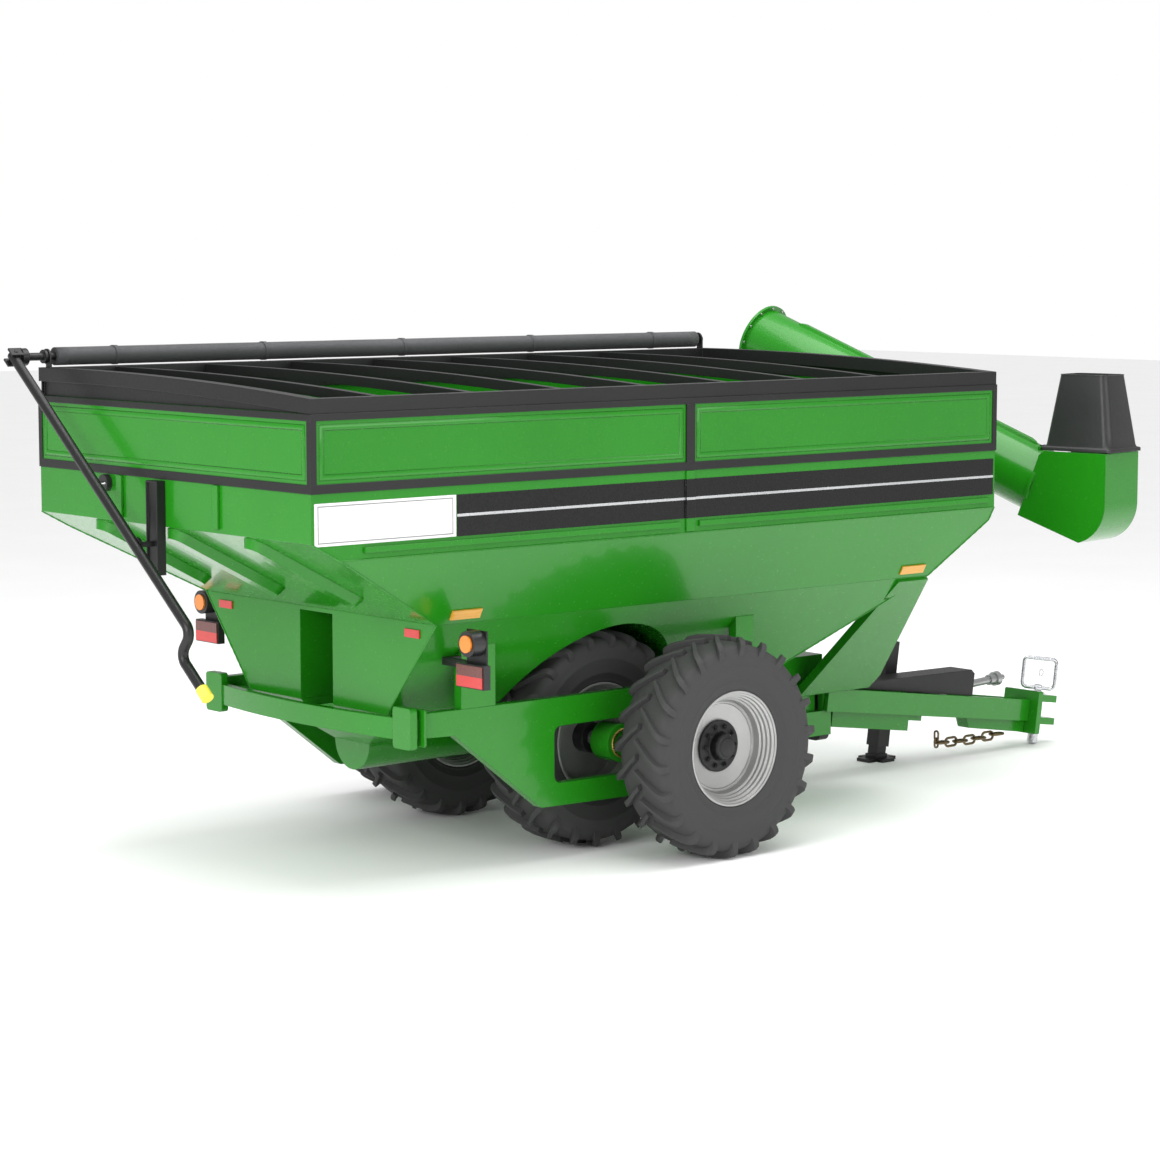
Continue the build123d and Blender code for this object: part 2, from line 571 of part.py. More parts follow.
def pin_handle():
    """Square loop of bent bar through the pin's eye."""
    z0 = CLEVIS_GAP / 2 + EAR_THICKNESS + 60
    path = FilletPolyline((0, -60, z0), (0, -150, z0), (0, -150, z0 + 270), (0, 150, z0 + 270),
                          (0, 150, z0), (0, 60, z0), radius=42)
    section = Plane(origin=path @ 0, z_dir=path % 0) * Circle(17)
    loop = sweep(section, path=path)
    middle = rod((0, -60, z0), (0, 60, z0), 17)
    return TONGUE * Rot(0, 0, HANDLE_TURN) * (loop + middle)


def pto_line():
    """Input shaft from the hitch end to the drive case under the auger's foot."""
    front = Vector(HITCH_X - PTO_SETBACK, 0, PTO_FRONT_Z)
    rear = Vector(CASE_X + 22, 0, PTO_REAR_Z)
    return front, rear


def pto_shaft(front, rear):
    along = (front - rear).normalized()
    shaft = rod(tuple(rear), tuple(front), PTO_RADIUS)
    guard = rod(tuple(rear + along * 120), tuple(rear + along * 1500), PTO_GUARD_RADIUS)
    sleeve = rod(tuple(rear + along * 1500), tuple(front - along * 420), PTO_GUARD_RADIUS - 12)
    return shaft + guard + sleeve


def pto_yoke(front, rear):
    along = (front - rear).normalized()
    knob = rod(tuple(front), tuple(front + along * 55), 64)
    neck = rod(tuple(front - along * 70), tuple(front), 48)
    stub = rod(tuple(front + along * 54), tuple(front + along * (55 + STUB_LENGTH)), STUB_RADIUS)
    knob = knob + neck + stub
    knob -= rod(tuple(front - along * 80), tuple(front), PTO_RADIUS)
    return knob


def pto_shield():
    """Open-bottomed cover over the input shaft, lying between the tongue rails."""
    outer = side_prism([(-2790, 88), (-2790, 100), (-1075, 322), (-1029, 290), (-1029, 88)], -128, 128)
    inner = side_prism([(-2900, 60), (-2900, 78), (-1085, 314), (-1037, 283), (-1037, 60)], -120, 120)
    cover = outer - inner
    front_end, rear_end = pto_line()
    return TONGUE * cover - rod(tuple(rear_end), tuple(front_end), PTO_GUARD_RADIUS + 8)


def jack():
    """Square jack: outer tube, sliding leg and foot."""
    place = TONGUE * Location((-1718, JACK_Y, 0))
    foot_point = place * Location((0, 0, -300))
    z_ground = -((foot_point.position.Z) / math.cos(math.radians(TONGUE_TILT))) - 300
    low = z_ground + 36
    outer = Pos(0, 0, low + 95) * Box(JACK_TUBE, JACK_TUBE, 940, align=UPWARD)
    outer -= Pos(0, 0, low + 90) * Box(JACK_LEG + 6, JACK_LEG + 6, 920, align=UPWARD)
    cap = Pos(0, 0, low + 95 + 940) * Cylinder(40, 26, align=UPWARD)
    leg = Pos(0, 0, low) * Box(JACK_LEG, JACK_LEG, 700, align=UPWARD)
    bottom = (place * Location((0, 0, low))).position
    foot = block(bottom.X - 170, bottom.X + 170, JACK_Y - 75, JACK_Y + 75, 0, 30)
    foot += block(bottom.X - 75, bottom.X + 75, JACK_Y - 150, JACK_Y + 150, 0, 30)
    socket = block(bottom.X - 68, bottom.X + 68, JACK_Y - 68, JACK_Y + 68, 30, 62)
    leg_placed = place * leg
    foot = (foot + socket) - leg_placed
    return place * (outer + cap), leg_placed, foot


def jack_mount():
    place = TONGUE * Location((-1718, JACK_Y, 0))
    plate = Pos(0, -JACK_TUBE / 2 - 8, -20) * Box(200, 16, 190)
    return place * plate


def chain_link(centre, length, width, wire, turn, pitch_angle):
    """One closed oval link."""
    path = SlotCenterToCenter(length - width, width - 2 * wire).face().outer_wire()
    start = Plane(origin=path @ 0, z_dir=path % 0)
    link = sweep(start * Circle(wire), path=path)
    return Pos(*centre) * Rot(0, pitch_angle, 0) * Rot(turn, 0, 0) * link


def safety_chain():
    """Chain from the tongue's underside, hanging and then running forward to the hitch."""
    links = []
    pitch = 132.0
    start = Vector(8010, -30, 262)
    for k in range(2):
        links.append(chain_link((start.X, start.Y, start.Z - 44 - 66 * k), 100, 62, 9, 90 * k, 90))
    for k in range(7):
        x = 8080 + pitch * 0.92 * k
        z = 150 - 14 * math.sin(math.pi * k / 6)
        links.append(chain_link((x, -30, z), pitch + 2 * 18, 96, 11, 90 if k % 2 else 0, 0))
    return group(links)


# ---------------------------------------------------------------- auger

def auger_axes():
    """Axis of the lower tube, and the hinge about which the upper tube folds."""
    folded = Vector(*FOLDED_TOP)
    down = (Vector(*FOLDED_SEAM) - folded).normalized()
    base = Vector(BOOT_BOX_X, 0, FLOOR_AUGER_Z)
    top = Vector(7240, 2230, 3340)
    for _ in range(40):
        up = (top - base).normalized()
        cosine = up.dot(down)
        sine = math.sqrt(1 - cosine * cosine)
        inward = (down - up * cosine).normalized()
        top = folded - (inward * (1 - cosine) + up * sine) * HINGE_REACH
    hinge = top + inward * HINGE_REACH
    turn = down.cross(up).normalized()
    return base, top, up, hinge, turn, folded, down


def screw(start, along, length, room, radius, pitch):
    """Shaft with one continuous helical flight of whole turns, within its room."""
    shaft_radius = SCREW_SHAFT_RADIUS
    turns = int((room - 60) / pitch)
    path = Helix(pitch=pitch, height=turns * pitch, radius=(radius + shaft_radius) / 2 - 4)
    width = radius - shaft_radius + 8
    section = Plane(origin=path @ 0, x_dir=(1, 0, 0), z_dir=path % 0) * Rectangle(width, 9)
    flight = Pos(0, 0, 40) * sweep(section, path=path, is_frenet=True)
    shaft = Cylinder(shaft_radius, length, align=UPWARD)
    place = Plane(origin=tuple(start), z_dir=along)
    return place * (shaft + flight)


def flange_and_tube(start, along, length, turn, inward, knuckles):
    """A tube whose flange meets its partner in the plane through the hinge."""
    place = Plane(origin=tuple(start), x_dir=turn, z_dir=along)
    tube = Pos(0, 0, 1) * Cylinder(TUBE_RADIUS, length - 1, align=UPWARD)
    ring = Pos(0, 0, 1) * Cylinder(FLANGE_RADIUS, FLANGE_THICKNESS, align=UPWARD)
    towards = 1 if place.y_dir.dot(inward) > 0 else -1
    body = tube + ring
    for low, high in knuckles:
        middle = (low + high) / 2
        width = high - low
        arm_y = towards * (FLANGE_RADIUS - 30 + HINGE_REACH) / 2
        arm = Box(width, HINGE_REACH - FLANGE_RADIUS + 30, FLANGE_THICKNESS)
        arm = Pos(middle, arm_y, 1 + FLANGE_THICKNESS / 2) * arm
        barrel = Pos(middle, towards * HINGE_REACH, 0) * Rot(0, 90, 0) * Cylinder(KNUCKLE_RADIUS, width)
        body = body + arm + barrel
    body -= Pos(0, 0, -1) * Cylinder(TUBE_RADIUS - TUBE_WALL, length + 2, align=UPWARD)
    body -= Pos(0, towards * HINGE_REACH, 0) * Rot(0, 90, 0) * Cylinder(HINGE_PIN_RADIUS + FIT, 600)
    return place * body


def head_frame(seam, down):
    """Plane of the auger head: x runs outwards over the ground, y is up."""
    out = Vector(down.X, down.Y, 0).normalized()
    return Plane(origin=tuple(seam), x_dir=out, z_dir=out.cross(Vector(0, 0, 1)))


def auger_head(seam, down):
    """Elbow at the tube's end that turns the grain into the spout."""
    beta = math.asin(-down.Z)
    across = (math.sin(beta) * TUBE_RADIUS, math.cos(beta) * TUBE_RADIUS)
    plane = head_frame(seam, down)
    mouth = 296

    def elbow(wall, rise):
        """Closed outline of the elbow, moved in by wall, with its mouth rise above the edge."""
        start = (across[0] - wall, across[1] - wall)
        heel = (-across[0] + wall / 3, -across[1] + wall)
        toe = (500 - wall / 2, -463 + wall)
        edges = [
            Line(start, heel), Line(heel, toe),
            ThreePointArc(toe, (675 - wall * 0.8, -350 + wall * 0.7), (752 - wall, -130)),
            Line((752 - wall, -130), (752 - wall, mouth + rise)),
            Line((752 - wall, mouth + rise), (150 + wall, mouth + rise)),
            Line((150 + wall, mouth + rise), start),
        ]
        return make_face(edges)
    shape = extrude(plane * elbow(0, 0), amount=HEAD_HALF_WIDTH, both=True)
    inner_half = HEAD_HALF_WIDTH - HEAD_WALL
    cavity = extrude(plane * elbow(HEAD_WALL + 2, 34), amount=inner_half, both=True)
    entry = rod(tuple(seam - down * 60), tuple(seam + down * 200), TUBE_RADIUS - TUBE_WALL)
    entry &= extrude(plane * Rectangle(4000, 4000), amount=inner_half, both=True)
    collar = pipe(tuple(seam + down * 1), tuple(seam + down * 30), TUBE_RADIUS + 14, TUBE_RADIUS - TUBE_WALL)
    lug = extrude(plane * Pos(600, -300) * SlotOverall(190, 70), amount=14, both=True)
    shape = shape + collar
    shape = shape - cavity - entry
    lug_bar = lug - cavity - shape
    return shape, lug_bar


def upright_plane(seam, down, out_distance, height):
    """Level plane over the head, with x running outwards."""
    out = Vector(down.X, down.Y, 0).normalized()
    origin = seam + out * out_distance + Vector(0, 0, height)
    return Plane(origin=tuple(origin), x_dir=out, z_dir=(0, 0, 1))


def tapered(plane, size_low, size_high, low, high):
    """Four-sided taper between two rectangles."""
    first = plane * Pos(0, 0, low) * Rectangle(*size_low)
    last = plane * Pos(0, 0, high) * Rectangle(*size_high)
    return loft([first, last])


def spout(seam, down):
    """Tapered spout, its frame, and the lugs that hang it on the head's hinge rod."""
    plane = upright_plane(seam, down, SPOUT_OUT, SPOUT_BASE)
    frame = plane * Pos(0, 0, 17) * Box(680, 520, 34)
    skin = tapered(plane, (640, 480), (455, 345), 34, SPOUT_HEIGHT)
    hollow = tapered(plane, (620, 460), (431, 321), 0, SPOUT_HEIGHT + 12)
    opening = plane * Pos(0, 0, 17) * Box(618, 458, 40)
    boot = frame + skin - hollow - opening
    hinge_plane = upright_plane(seam, down, SPOUT_OUT - 340 - 26, SPOUT_BASE + 17)
    for y in (-170, 170):
        lug = hinge_plane * Pos(0, y, 0) * Rot(90, 0, 0) * Cylinder(24, 70)
        web = hinge_plane * Pos(14, y, 0) * Box(28, 70, 24)
        boot = boot + lug + web
    bore = hinge_plane * Rot(90, 0, 0) * Cylinder(13 + FIT, 600)
    return boot - bore


def spout_hinge(seam, down):
    """Rod along the head's inner edge, on three brackets."""
    plane = upright_plane(seam, down, SPOUT_OUT - 340 - 26, SPOUT_BASE + 17)
    bar = plane * Rot(90, 0, 0) * Cylinder(13, 470)
    stand_height = SPOUT_BASE + 17 - 296
    for y in (-222, 0, 222):
        bar = bar + plane * Pos(0, y, -stand_height / 2) * Box(26, 22, stand_height)
    return bar


def housing(base, up):
    """Closed box where the floor auger hands the grain to the lower tube."""
    x0 = base.X - 300
    x1 = base.X + BOOT_BOX_REACH
    low = block(x0, x1, -TROUGH_RADIUS, TROUGH_RADIUS, 640, 832)
    high = block(x0, x1, -300, 300, 832, 1130)
    room = block(x0 + 10, x1 - 10, -TROUGH_RADIUS + 10, TROUGH_RADIUS - 10, 650, 842)
    room += block(x0 + 10, x1 - 10, -290, 290, 842, 1120)
    shell = low + high - room
    shell -= rod(tuple(base), tuple(base + up * 900), TUBE_RADIUS - TUBE_WALL)
    shell -= rod((x0 - 20, 0, FLOOR_AUGER_Z), (x0 + 20, 0, FLOOR_AUGER_Z), TROUGH_RADIUS - SHEET)
    shell -= rod((x1 - 20, 0, FLOOR_AUGER_Z), (x1 + 20, 0, FLOOR_AUGER_Z), SCREW_SHAFT_RADIUS + FIT)
    return shell, low + high


def sprocket(centre, along, radius, teeth, bore):
    """Toothed wheel with a bore."""
    wheel = Cylinder(radius, 22)
    for k in range(teeth):
        angle = 360 / teeth * k
        tooth = Rot(0, 0, angle) * Pos(radius, 0, 0) * Rot(0, 90, 0) * Cone(7, 3, 16)
        wheel = wheel + tooth
    wheel -= Cylinder(bore, 60)
    return Plane(origin=tuple(centre), z_dir=along) * wheel


def drive_chain(z_low, z_high, r_low, r_high, x):
    """Chain around both sprockets as one closed band, clear of their teeth."""
    def loop(extra):
        low = Pos(0, z_low) * Circle(r_low + extra)
        high = Pos(0, z_high) * Circle(r_high + extra)
        return make_hull(low.edges() + high.edges())
    band = loop(34) - loop(14)
    across = Plane(origin=(x, 0, 0), x_dir=(0, 1, 0), z_dir=(1, 0, 0))
    return across * Pos(0, 0, -10) * extrude(band, amount=20)


def drive_case(front, rear):
    outer = block(CASE_X, CASE_X + 110, -185, 185, 360, 1020)
    outer = fillet(outer.edges().filter_by(Axis.X), 60)
    inner = block(CASE_X + 8, CASE_X + 102, -175, 175, 370, 1010)
    inner = fillet(inner.edges().filter_by(Axis.X), 52)
    case = outer - inner
    case -= rod((CASE_X - 20, 0, FLOOR_AUGER_Z), (CASE_X + 60, 0, FLOOR_AUGER_Z), SCREW_SHAFT_RADIUS + GAP)
    along = (front - rear).normalized()
    case -= rod(tuple(rear + along * 30), tuple(rear + along * 300), PTO_RADIUS + FIT)
    return case


# ---------------------------------------------------------------- tarp

def arched_plate(x0, x1, y0, y1, drop, depth):
    """Curved member that follows the tarp frame's arch: its top is drop below the arch."""
    top = ThreePointArc((-TANK_HALF_WIDTH, RIM_RIGHT), (0, RIM_MIDDLE), (TANK_HALF_WIDTH, RIM_LEFT))
    upper = Pos(0, -drop) * top
    lower = Pos(0, -drop - depth) * top
    left = Line(upper @ 1, lower @ 1)
    right = Line(upper @ 0, lower @ 0)
    face = make_face([upper.edge(), left.edge(), lower.edge(), right.edge()])
    plane = Plane(origin=(x0, 0, 0), x_dir=(0, 1, 0), z_dir=(1, 0, 0))
    plate = extrude(plane * face, amount=x1 - x0)
    return plate & block(x0 - 5, x1 + 5, y0, y1, 3000, 4000)


def tarp_frame():
    half = TANK_HALF_WIDTH
    depth = RIM_RIGHT - WALL_TOP
    parts = []
    right = block(0, TANK_LENGTH, -half, -half + RAIL_SIZE, WALL_TOP, RIM_RIGHT)
    left = block(0, TANK_LENGTH, half - RAIL_SIZE, half, RIM_LEFT - depth, RIM_LEFT)
    riser = block(0, TANK_LENGTH, half - 40, half - 30, WALL_TOP, RIM_LEFT - depth)
    frame = right + left + riser
    for x0 in (-4, TANK_LENGTH - RAIL_SIZE + 4):
        frame = frame + arched_plate(x0, x0 + RAIL_SIZE, -half, half, 0, depth)
    for x0 in (22, TANK_LENGTH - 32):
        filler = arched_plate(x0, x0 + 10, -half + 40, half - 30, depth - 4, 130)
        frame = frame + (filler & block(x0 - 5, x0 + 15, -half, half, WALL_TOP, 4000))
    parts.append(frame)
    for x in (60, TANK_LENGTH - 74):
        stand = block(x, x + 14, ROLL_Y - 60, ROLL_Y + 5, RIM_LEFT, ROLL_Z)
        stand += Pos(x + 7, ROLL_Y, ROLL_Z) * Rot(0, 90, 0) * Cylinder(58, 14)
        stand -= rod((x - 5, ROLL_Y, ROLL_Z), (x + 20, ROLL_Y, ROLL_Z), ROLL_SHAFT_RADIUS + FIT)
        stand -= block(x - 5, x + 20, 0, 2500, 3400, RIM_LEFT)
        parts.append(stand)
    return group(parts)


def tarp_bows():
    bows = []
    half = TANK_HALF_WIDTH
    for k in range(BOW_COUNT):
        x = BOW_FIRST_X + BOW_PITCH * k
        bows.append(arched_plate(x - 30, x + 30, -half + RAIL_SIZE, half - RAIL_SIZE, 10, 72))
    return group(bows)


def tarp_roll():
    roll = rod((ROLL_REAR_X, ROLL_Y, ROLL_Z), (ROLL_FRONT_X, ROLL_Y, ROLL_Z), ROLL_RADIUS)
    return roll - rod((0, ROLL_Y, ROLL_Z), (TANK_LENGTH + 100, ROLL_Y, ROLL_Z), ROLL_SHAFT_RADIUS)


def roll_yoke():
    """Shaft through the roll, with the universal joint's fork and pin on its rear end."""
    shaft = rod((YOKE_X + 52, ROLL_Y, ROLL_Z), (TANK_LENGTH - 30, ROLL_Y, ROLL_Z), ROLL_SHAFT_RADIUS)
    boss = rod((YOKE_X + 50, ROLL_Y, ROLL_Z), (YOKE_X + 100, ROLL_Y, ROLL_Z), 66)
    collar = rod((30, ROLL_Y, ROLL_Z), (52, ROLL_Y, ROLL_Z), 52)
    fork = Plane(origin=(YOKE_X, ROLL_Y, ROLL_Z), x_dir=(-1, 0, 0), z_dir=CRANK_PIN)
    ears = None
    for side in (1, -1):
        ear = fork * Pos(-5, 0, side * (CRANK_RADIUS + 4 + 8)) * Box(110, 78, 16)
        ears = ear if ears is None else ears + ear
    ears = ears & rod((YOKE_X - 60, ROLL_Y, ROLL_Z), (YOKE_X + 60, ROLL_Y, ROLL_Z), 74)
    pin = fork * Cylinder(14, 2 * (CRANK_RADIUS + 26))
    return shaft + boss + collar + ears + pin


def crank():
    """Crank rod from the universal joint down to its cranked handle, with a grip."""
    joint = Vector(YOKE_X, ROLL_Y, ROLL_Z)
    throw = CRANK_DOWN.cross(Vector(1, 0, 0)).normalized()
    if throw.Z > 0:
        throw = throw * -1
    knee = joint + CRANK_DOWN * CRANK_LENGTH
    elbow = knee + throw * CRANK_THROW
    tip = elbow + CRANK_DOWN * 330
    head = joint - CRANK_DOWN * CRANK_HEAD
    path = FilletPolyline(tuple(head), tuple(knee), tuple(elbow), tuple(tip), radius=85)
    bar = sweep(Plane(origin=path @ 0, z_dir=path % 0) * Circle(CRANK_RADIUS), path=path)
    fork = Plane(origin=tuple(joint), x_dir=(-1, 0, 0), z_dir=CRANK_PIN)
    bar -= fork * Cylinder(14 + FIT, 200)
    grip = rod(tuple(tip), tuple(tip + CRANK_DOWN * 95), CRANK_RADIUS + 8)
    return bar, grip


def crank_bracket():
    """Channel on the rear wall with the open hook that the crank rod hangs in."""
    channel = block(-72, -1, 35, 180, 2214, 2887)
    channel -= block(-80, -60, 47, 168, 2226, 2875)
    reach = (ROLL_Y - 108) / -CRANK_DOWN.Y
    at = Vector(YOKE_X, ROLL_Y, ROLL_Z) + CRANK_DOWN * reach
    ring = pipe(tuple(at - CRANK_DOWN * 18), tuple(at + CRANK_DOWN * 18), CRANK_RADIUS + 20, CRANK_RADIUS + 5)
    ring -= block(YOKE_X - 200, YOKE_X + 4, -500, 800, 2000, 3000)
    arm = block(YOKE_X + CRANK_RADIUS + 8, -60, at.Y - 22, at.Y + 22, at.Z - 18, at.Z + 18)
    hook = ring + (arm - rod(tuple(at - CRANK_DOWN * 90), tuple(at + CRANK_DOWN * 90), CRANK_RADIUS + 5))
    return channel + hook


# ---------------------------------------------------------------- lamps

def lamp_sets():
    """Right-hand lamp pieces: housings, red lenses, amber lenses and brackets."""
    y = -LAMP_Y
    plate = block(LAMP_X + 60, LAMP_X + 74, y - 110, y + 110, 1460, 1860)
    arm = block(LAMP_X + 74, LAMP_X + 116, y + 20, -1243, 1570, 1626)
    tie = block(LAMP_X + 74, 1625, -1292, -1243, 1570, 1626)
    box = block(LAMP_X, LAMP_X + 60, y - 155, y + 155, 1450, 1622)
    round_case = Pos(LAMP_X + 8, y - 18, 1770) * Rot(0, 90, 0) * Cylinder(92, 104)
    red = block(LAMP_X - 10, LAMP_X, y - 145, y + 145, 1458, 1614)
    amber = Pos(LAMP_X - 52, y - 18, 1770) * Rot(0, 90, 0) * Cylinder(62, 16)
    marker = block(FUNNEL_REAR_X - 12, FUNNEL_REAR_X, -1260, -1090, 1776, 1836)
    slope_run = (FUNNEL_HALF_WIDTH - TANK_HALF_WIDTH) / (SLOPE_BOTTOM - SIDE_WALL_BOTTOM)
    side_y = FUNNEL_HALF_WIDTH + slope_run * 70
    tip = math.degrees(math.atan2(TANK_HALF_WIDTH - FUNNEL_HALF_WIDTH, SIDE_WALL_BOTTOM - SLOPE_BOTTOM))
    strips = []
    for x in (1510, TANK_LENGTH - 690):
        strip = Rot(tip, 0, 0) * Pos(0, -7, 0) * Box(270, 12, 76)
        strips.append(Pos(x, -side_y, SLOPE_BOTTOM + 70) * strip)
    return [box, round_case], [red, marker], [amber] + strips, [plate + arm + tie]


def work_light():
    """Small round lamp on the rear wall."""
    return Pos(-22, 800, 2830) * Rot(0, 90, 0) * Cylinder(62, 44)


def build_all():
    os.makedirs("parts", exist_ok=True)
    base, top, up, hinge, turn, folded, down = auger_axes()
    seam = Vector(*FOLDED_SEAM)

    full = tank_body(0)
    tube_path = rod(tuple(base), tuple(top + up * 300), TUBE_RADIUS)
    tank_pieces(full, tube_path)
    save("tank_trim", group([s - tube_path for s in tank_trim().solids()]))
    save("tank_ribs", group([s - tube_path for s in tank_ribs().solids()]))
    cover = block(SUMP_REAR_X + 60, SUMP_FRONT_X - 30, -WELL_INNER_Y + 20, WELL_INNER_Y - 20, 1050, 1058)
    gate = block(1890, 4410, -240, 240, 1060, 1068)
    for x in (1900, 2900, 3900):
        cover -= block(x, x + 500, -220, 220, 1000, 1100)
    for x in (2405, 3405):
        gate -= block(x, x + 490, -220, 220, 1000, 1100)
    save("sump_cover", cover)
    save("flow_gate", gate)

    right_plate = side_plate()
    bosses, spindles, washers = spindle_set()
    save("side_plates", both_sides(right_plate))
    seats = bosses + washers
    save("spindle_bosses", group(seats + [mirror_y(s) for s in seats]))
    save("spindles", group(spindles + [mirror_y(s) for s in spindles]))
    for name, (x, y, outward) in WHEELS.items():
        save("tyre_" + name, tyre(x, y))
        save("rim_" + name, rim(x, y, outward))
        save("hub_" + name, hub(x, y, outward))
    save("cross_frame", cross_frame(full))
    bar, ends = rear_bar()
    for end in ends:
        bar = bar + end
    save("rear_bar", bar)
    posts = support_posts()
    save("support_posts", group(posts + [mirror_y(p) for p in posts]))
    brace = brace_plate() - full
    tube_room = rod(tuple(base - up * 400), tuple(top), TUBE_RADIUS + GAP)
    left_brace = mirror_y(brace) - tube_room
    save("brace_plates", group([brace, max(left_brace.solids(), key=lambda s: s.volume)]))

    rails = tongue_rails()
    save("tongue_rails", rails)
    save("hitch_head", hitch_head())
    save("hitch_pin", hitch_pin())
    save("pin_handle", pin_handle())
    front, rear = pto_line()
    save("pto_shaft", pto_shaft(front, rear) + pto_yoke(front, rear))
    save("pto_shield", pto_shield())
    tube, leg, foot = jack()
    save("jack_tube", tube + jack_mount() - rails)
    save("jack_leg", leg + foot)
    save("safety_chain", safety_chain())

    trough_link = pipe((SUMP_FRONT_X, 0, FLOOR_AUGER_Z), (base.X - 300, 0, FLOOR_AUGER_Z),
                       TROUGH_RADIUS, TROUGH_RADIUS - SHEET)
    foot_shell, foot_block = housing(base, up)
    save("auger_foot", foot_shell + trough_link - full)
    run = (top - base).length
    knuckles_low = ((-170, -62), (62, 170))
    lower = flange_and_tube(top, up * -1, run - 60, turn, (hinge - top).normalized(), knuckles_low)
    lower = lower - foot_block
    lower -= rod((base.X, 0, FLOOR_AUGER_Z), (CASE_X, 0, FLOOR_AUGER_Z), SCREW_SHAFT_RADIUS + GAP)
    lower = group([max(lower.solids(), key=lambda s: s.volume)])
    save("lower_auger_tube", lower)
    upper_inward = (hinge - folded).normalized()
    upper = flange_and_tube(folded, down, (seam - folded).length - 1, turn, upper_inward, ((-58, 58),))
    save("upper_auger_tube", upper)
    hinge_pin = rod(tuple(hinge - turn * 200), tuple(hinge + turn * 200), HINGE_PIN_RADIUS)
    save("fold_hinge_pin", hinge_pin)
    floor_start = Vector(SUMP_REAR_X + 30, 0, FLOOR_AUGER_Z)
    save("floor_screw", screw(floor_start, Vector(1, 0, 0), CASE_X + 60 - floor_start.X,
                              base.X + BOOT_BOX_REACH - SHEET - floor_start.X,
                              FLOOR_SCREW_RADIUS, FLOOR_SCREW_PITCH))
    lower_run = run - 480 - 70
    save("lower_screw", screw(base + up * 480, up, lower_run, lower_run, SCREW_RADIUS, SCREW_PITCH))
    upper_run = (seam - folded).length + 60
    save("upper_screw", screw(folded + down * 60, down, upper_run, upper_run, SCREW_RADIUS, SCREW_PITCH))
    head, lug = auger_head(seam, down)
    save("auger_head", head + lug + spout_hinge(seam, down))
    save("spout_boot", spout(seam, down))
    floor_centre = Vector(CASE_X + 48, 0, FLOOR_AUGER_Z)
    pto_centre = rear + (front - rear).normalized() * 26
    save("pto_sprocket", sprocket(pto_centre, front - rear, 88, 18, PTO_RADIUS))
    save("floor_sprocket", sprocket(floor_centre, Vector(1, 0, 0), 118, 24, SCREW_SHAFT_RADIUS))
    save("drive_chain", drive_chain(pto_centre.Z, FLOOR_AUGER_Z, 88, 118, CASE_X + 48))
    save("drive_case", drive_case(front, rear))

    save("tarp_frame", tarp_frame())
    save("tarp_bows", tarp_bows())
    save("tarp_roll", tarp_roll())
    save("roll_yoke", roll_yoke())
    bar, grip = crank()
    save("crank_rod", bar)
    save("crank_grip", grip)
    save("crank_bracket", crank_bracket())

    cases, red, amber, brackets = lamp_sets()
    save("lamp_cases", group(cases + [mirror_y(s) for s in cases] + [work_light()]))
    save("red_lenses", group(red + [mirror_y(s) for s in red]))
    save("amber_lenses", group(amber + [mirror_y(s) for s in amber]))
    relieved = [s - full for s in brackets]
    save("lamp_brackets", group(relieved + [mirror_y(s) for s in relieved]))


build_all()
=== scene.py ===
"""Grain cart with a folding unloading auger: the visual model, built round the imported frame."""

import json
import logging
import math
import random
from dataclasses import dataclass, field
from enum import Enum
from typing import Callable, Iterable, Sequence

import bmesh
import bpy
from mathutils import Matrix, Vector


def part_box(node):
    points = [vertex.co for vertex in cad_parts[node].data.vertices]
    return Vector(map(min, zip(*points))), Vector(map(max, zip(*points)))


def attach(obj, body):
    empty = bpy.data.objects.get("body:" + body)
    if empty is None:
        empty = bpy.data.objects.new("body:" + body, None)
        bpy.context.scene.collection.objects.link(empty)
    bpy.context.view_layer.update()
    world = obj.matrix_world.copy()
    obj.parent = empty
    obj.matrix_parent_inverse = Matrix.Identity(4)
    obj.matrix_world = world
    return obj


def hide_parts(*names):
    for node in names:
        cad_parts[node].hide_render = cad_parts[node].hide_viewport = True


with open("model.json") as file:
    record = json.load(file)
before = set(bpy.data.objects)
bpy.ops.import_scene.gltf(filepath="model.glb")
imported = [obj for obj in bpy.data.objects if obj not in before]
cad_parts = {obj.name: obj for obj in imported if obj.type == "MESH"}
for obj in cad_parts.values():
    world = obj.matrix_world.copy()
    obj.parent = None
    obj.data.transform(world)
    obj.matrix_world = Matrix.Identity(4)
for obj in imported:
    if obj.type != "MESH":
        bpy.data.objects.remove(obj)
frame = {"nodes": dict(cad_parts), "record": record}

LOG = logging.getLogger("grain_cart")
HITCH = Vector((9.375, 0.0, 0.321))
GROUND = -HITCH.z
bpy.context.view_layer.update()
TANK_HALF_WIDTH = 1.740
TANK_LENGTH = 6.800
WALL_TOP = 3.433
BELT_TOP = 2.960
Colour = tuple[float, float, float]


def at(x: float, y: float, z: float) -> Vector:
    """Place measured forward from the rear wall, left of the middle and up from the ground."""
    return Vector((x, y, z)) - HITCH


class Side(Enum):
    """Side of the cart, seen in its direction of travel."""

    RIGHT = -1
    LEFT = 1


class Body(Enum):
    """Bodies of the frame that new pieces ride on."""

    CART = "cart"
    ROLL = "roll"
    SPOUT = "spout"
    PIN = "drawbar_pin"
    UPPER_AUGER = "upper_auger"


# ------------------------------------------------------------------ shader wiring

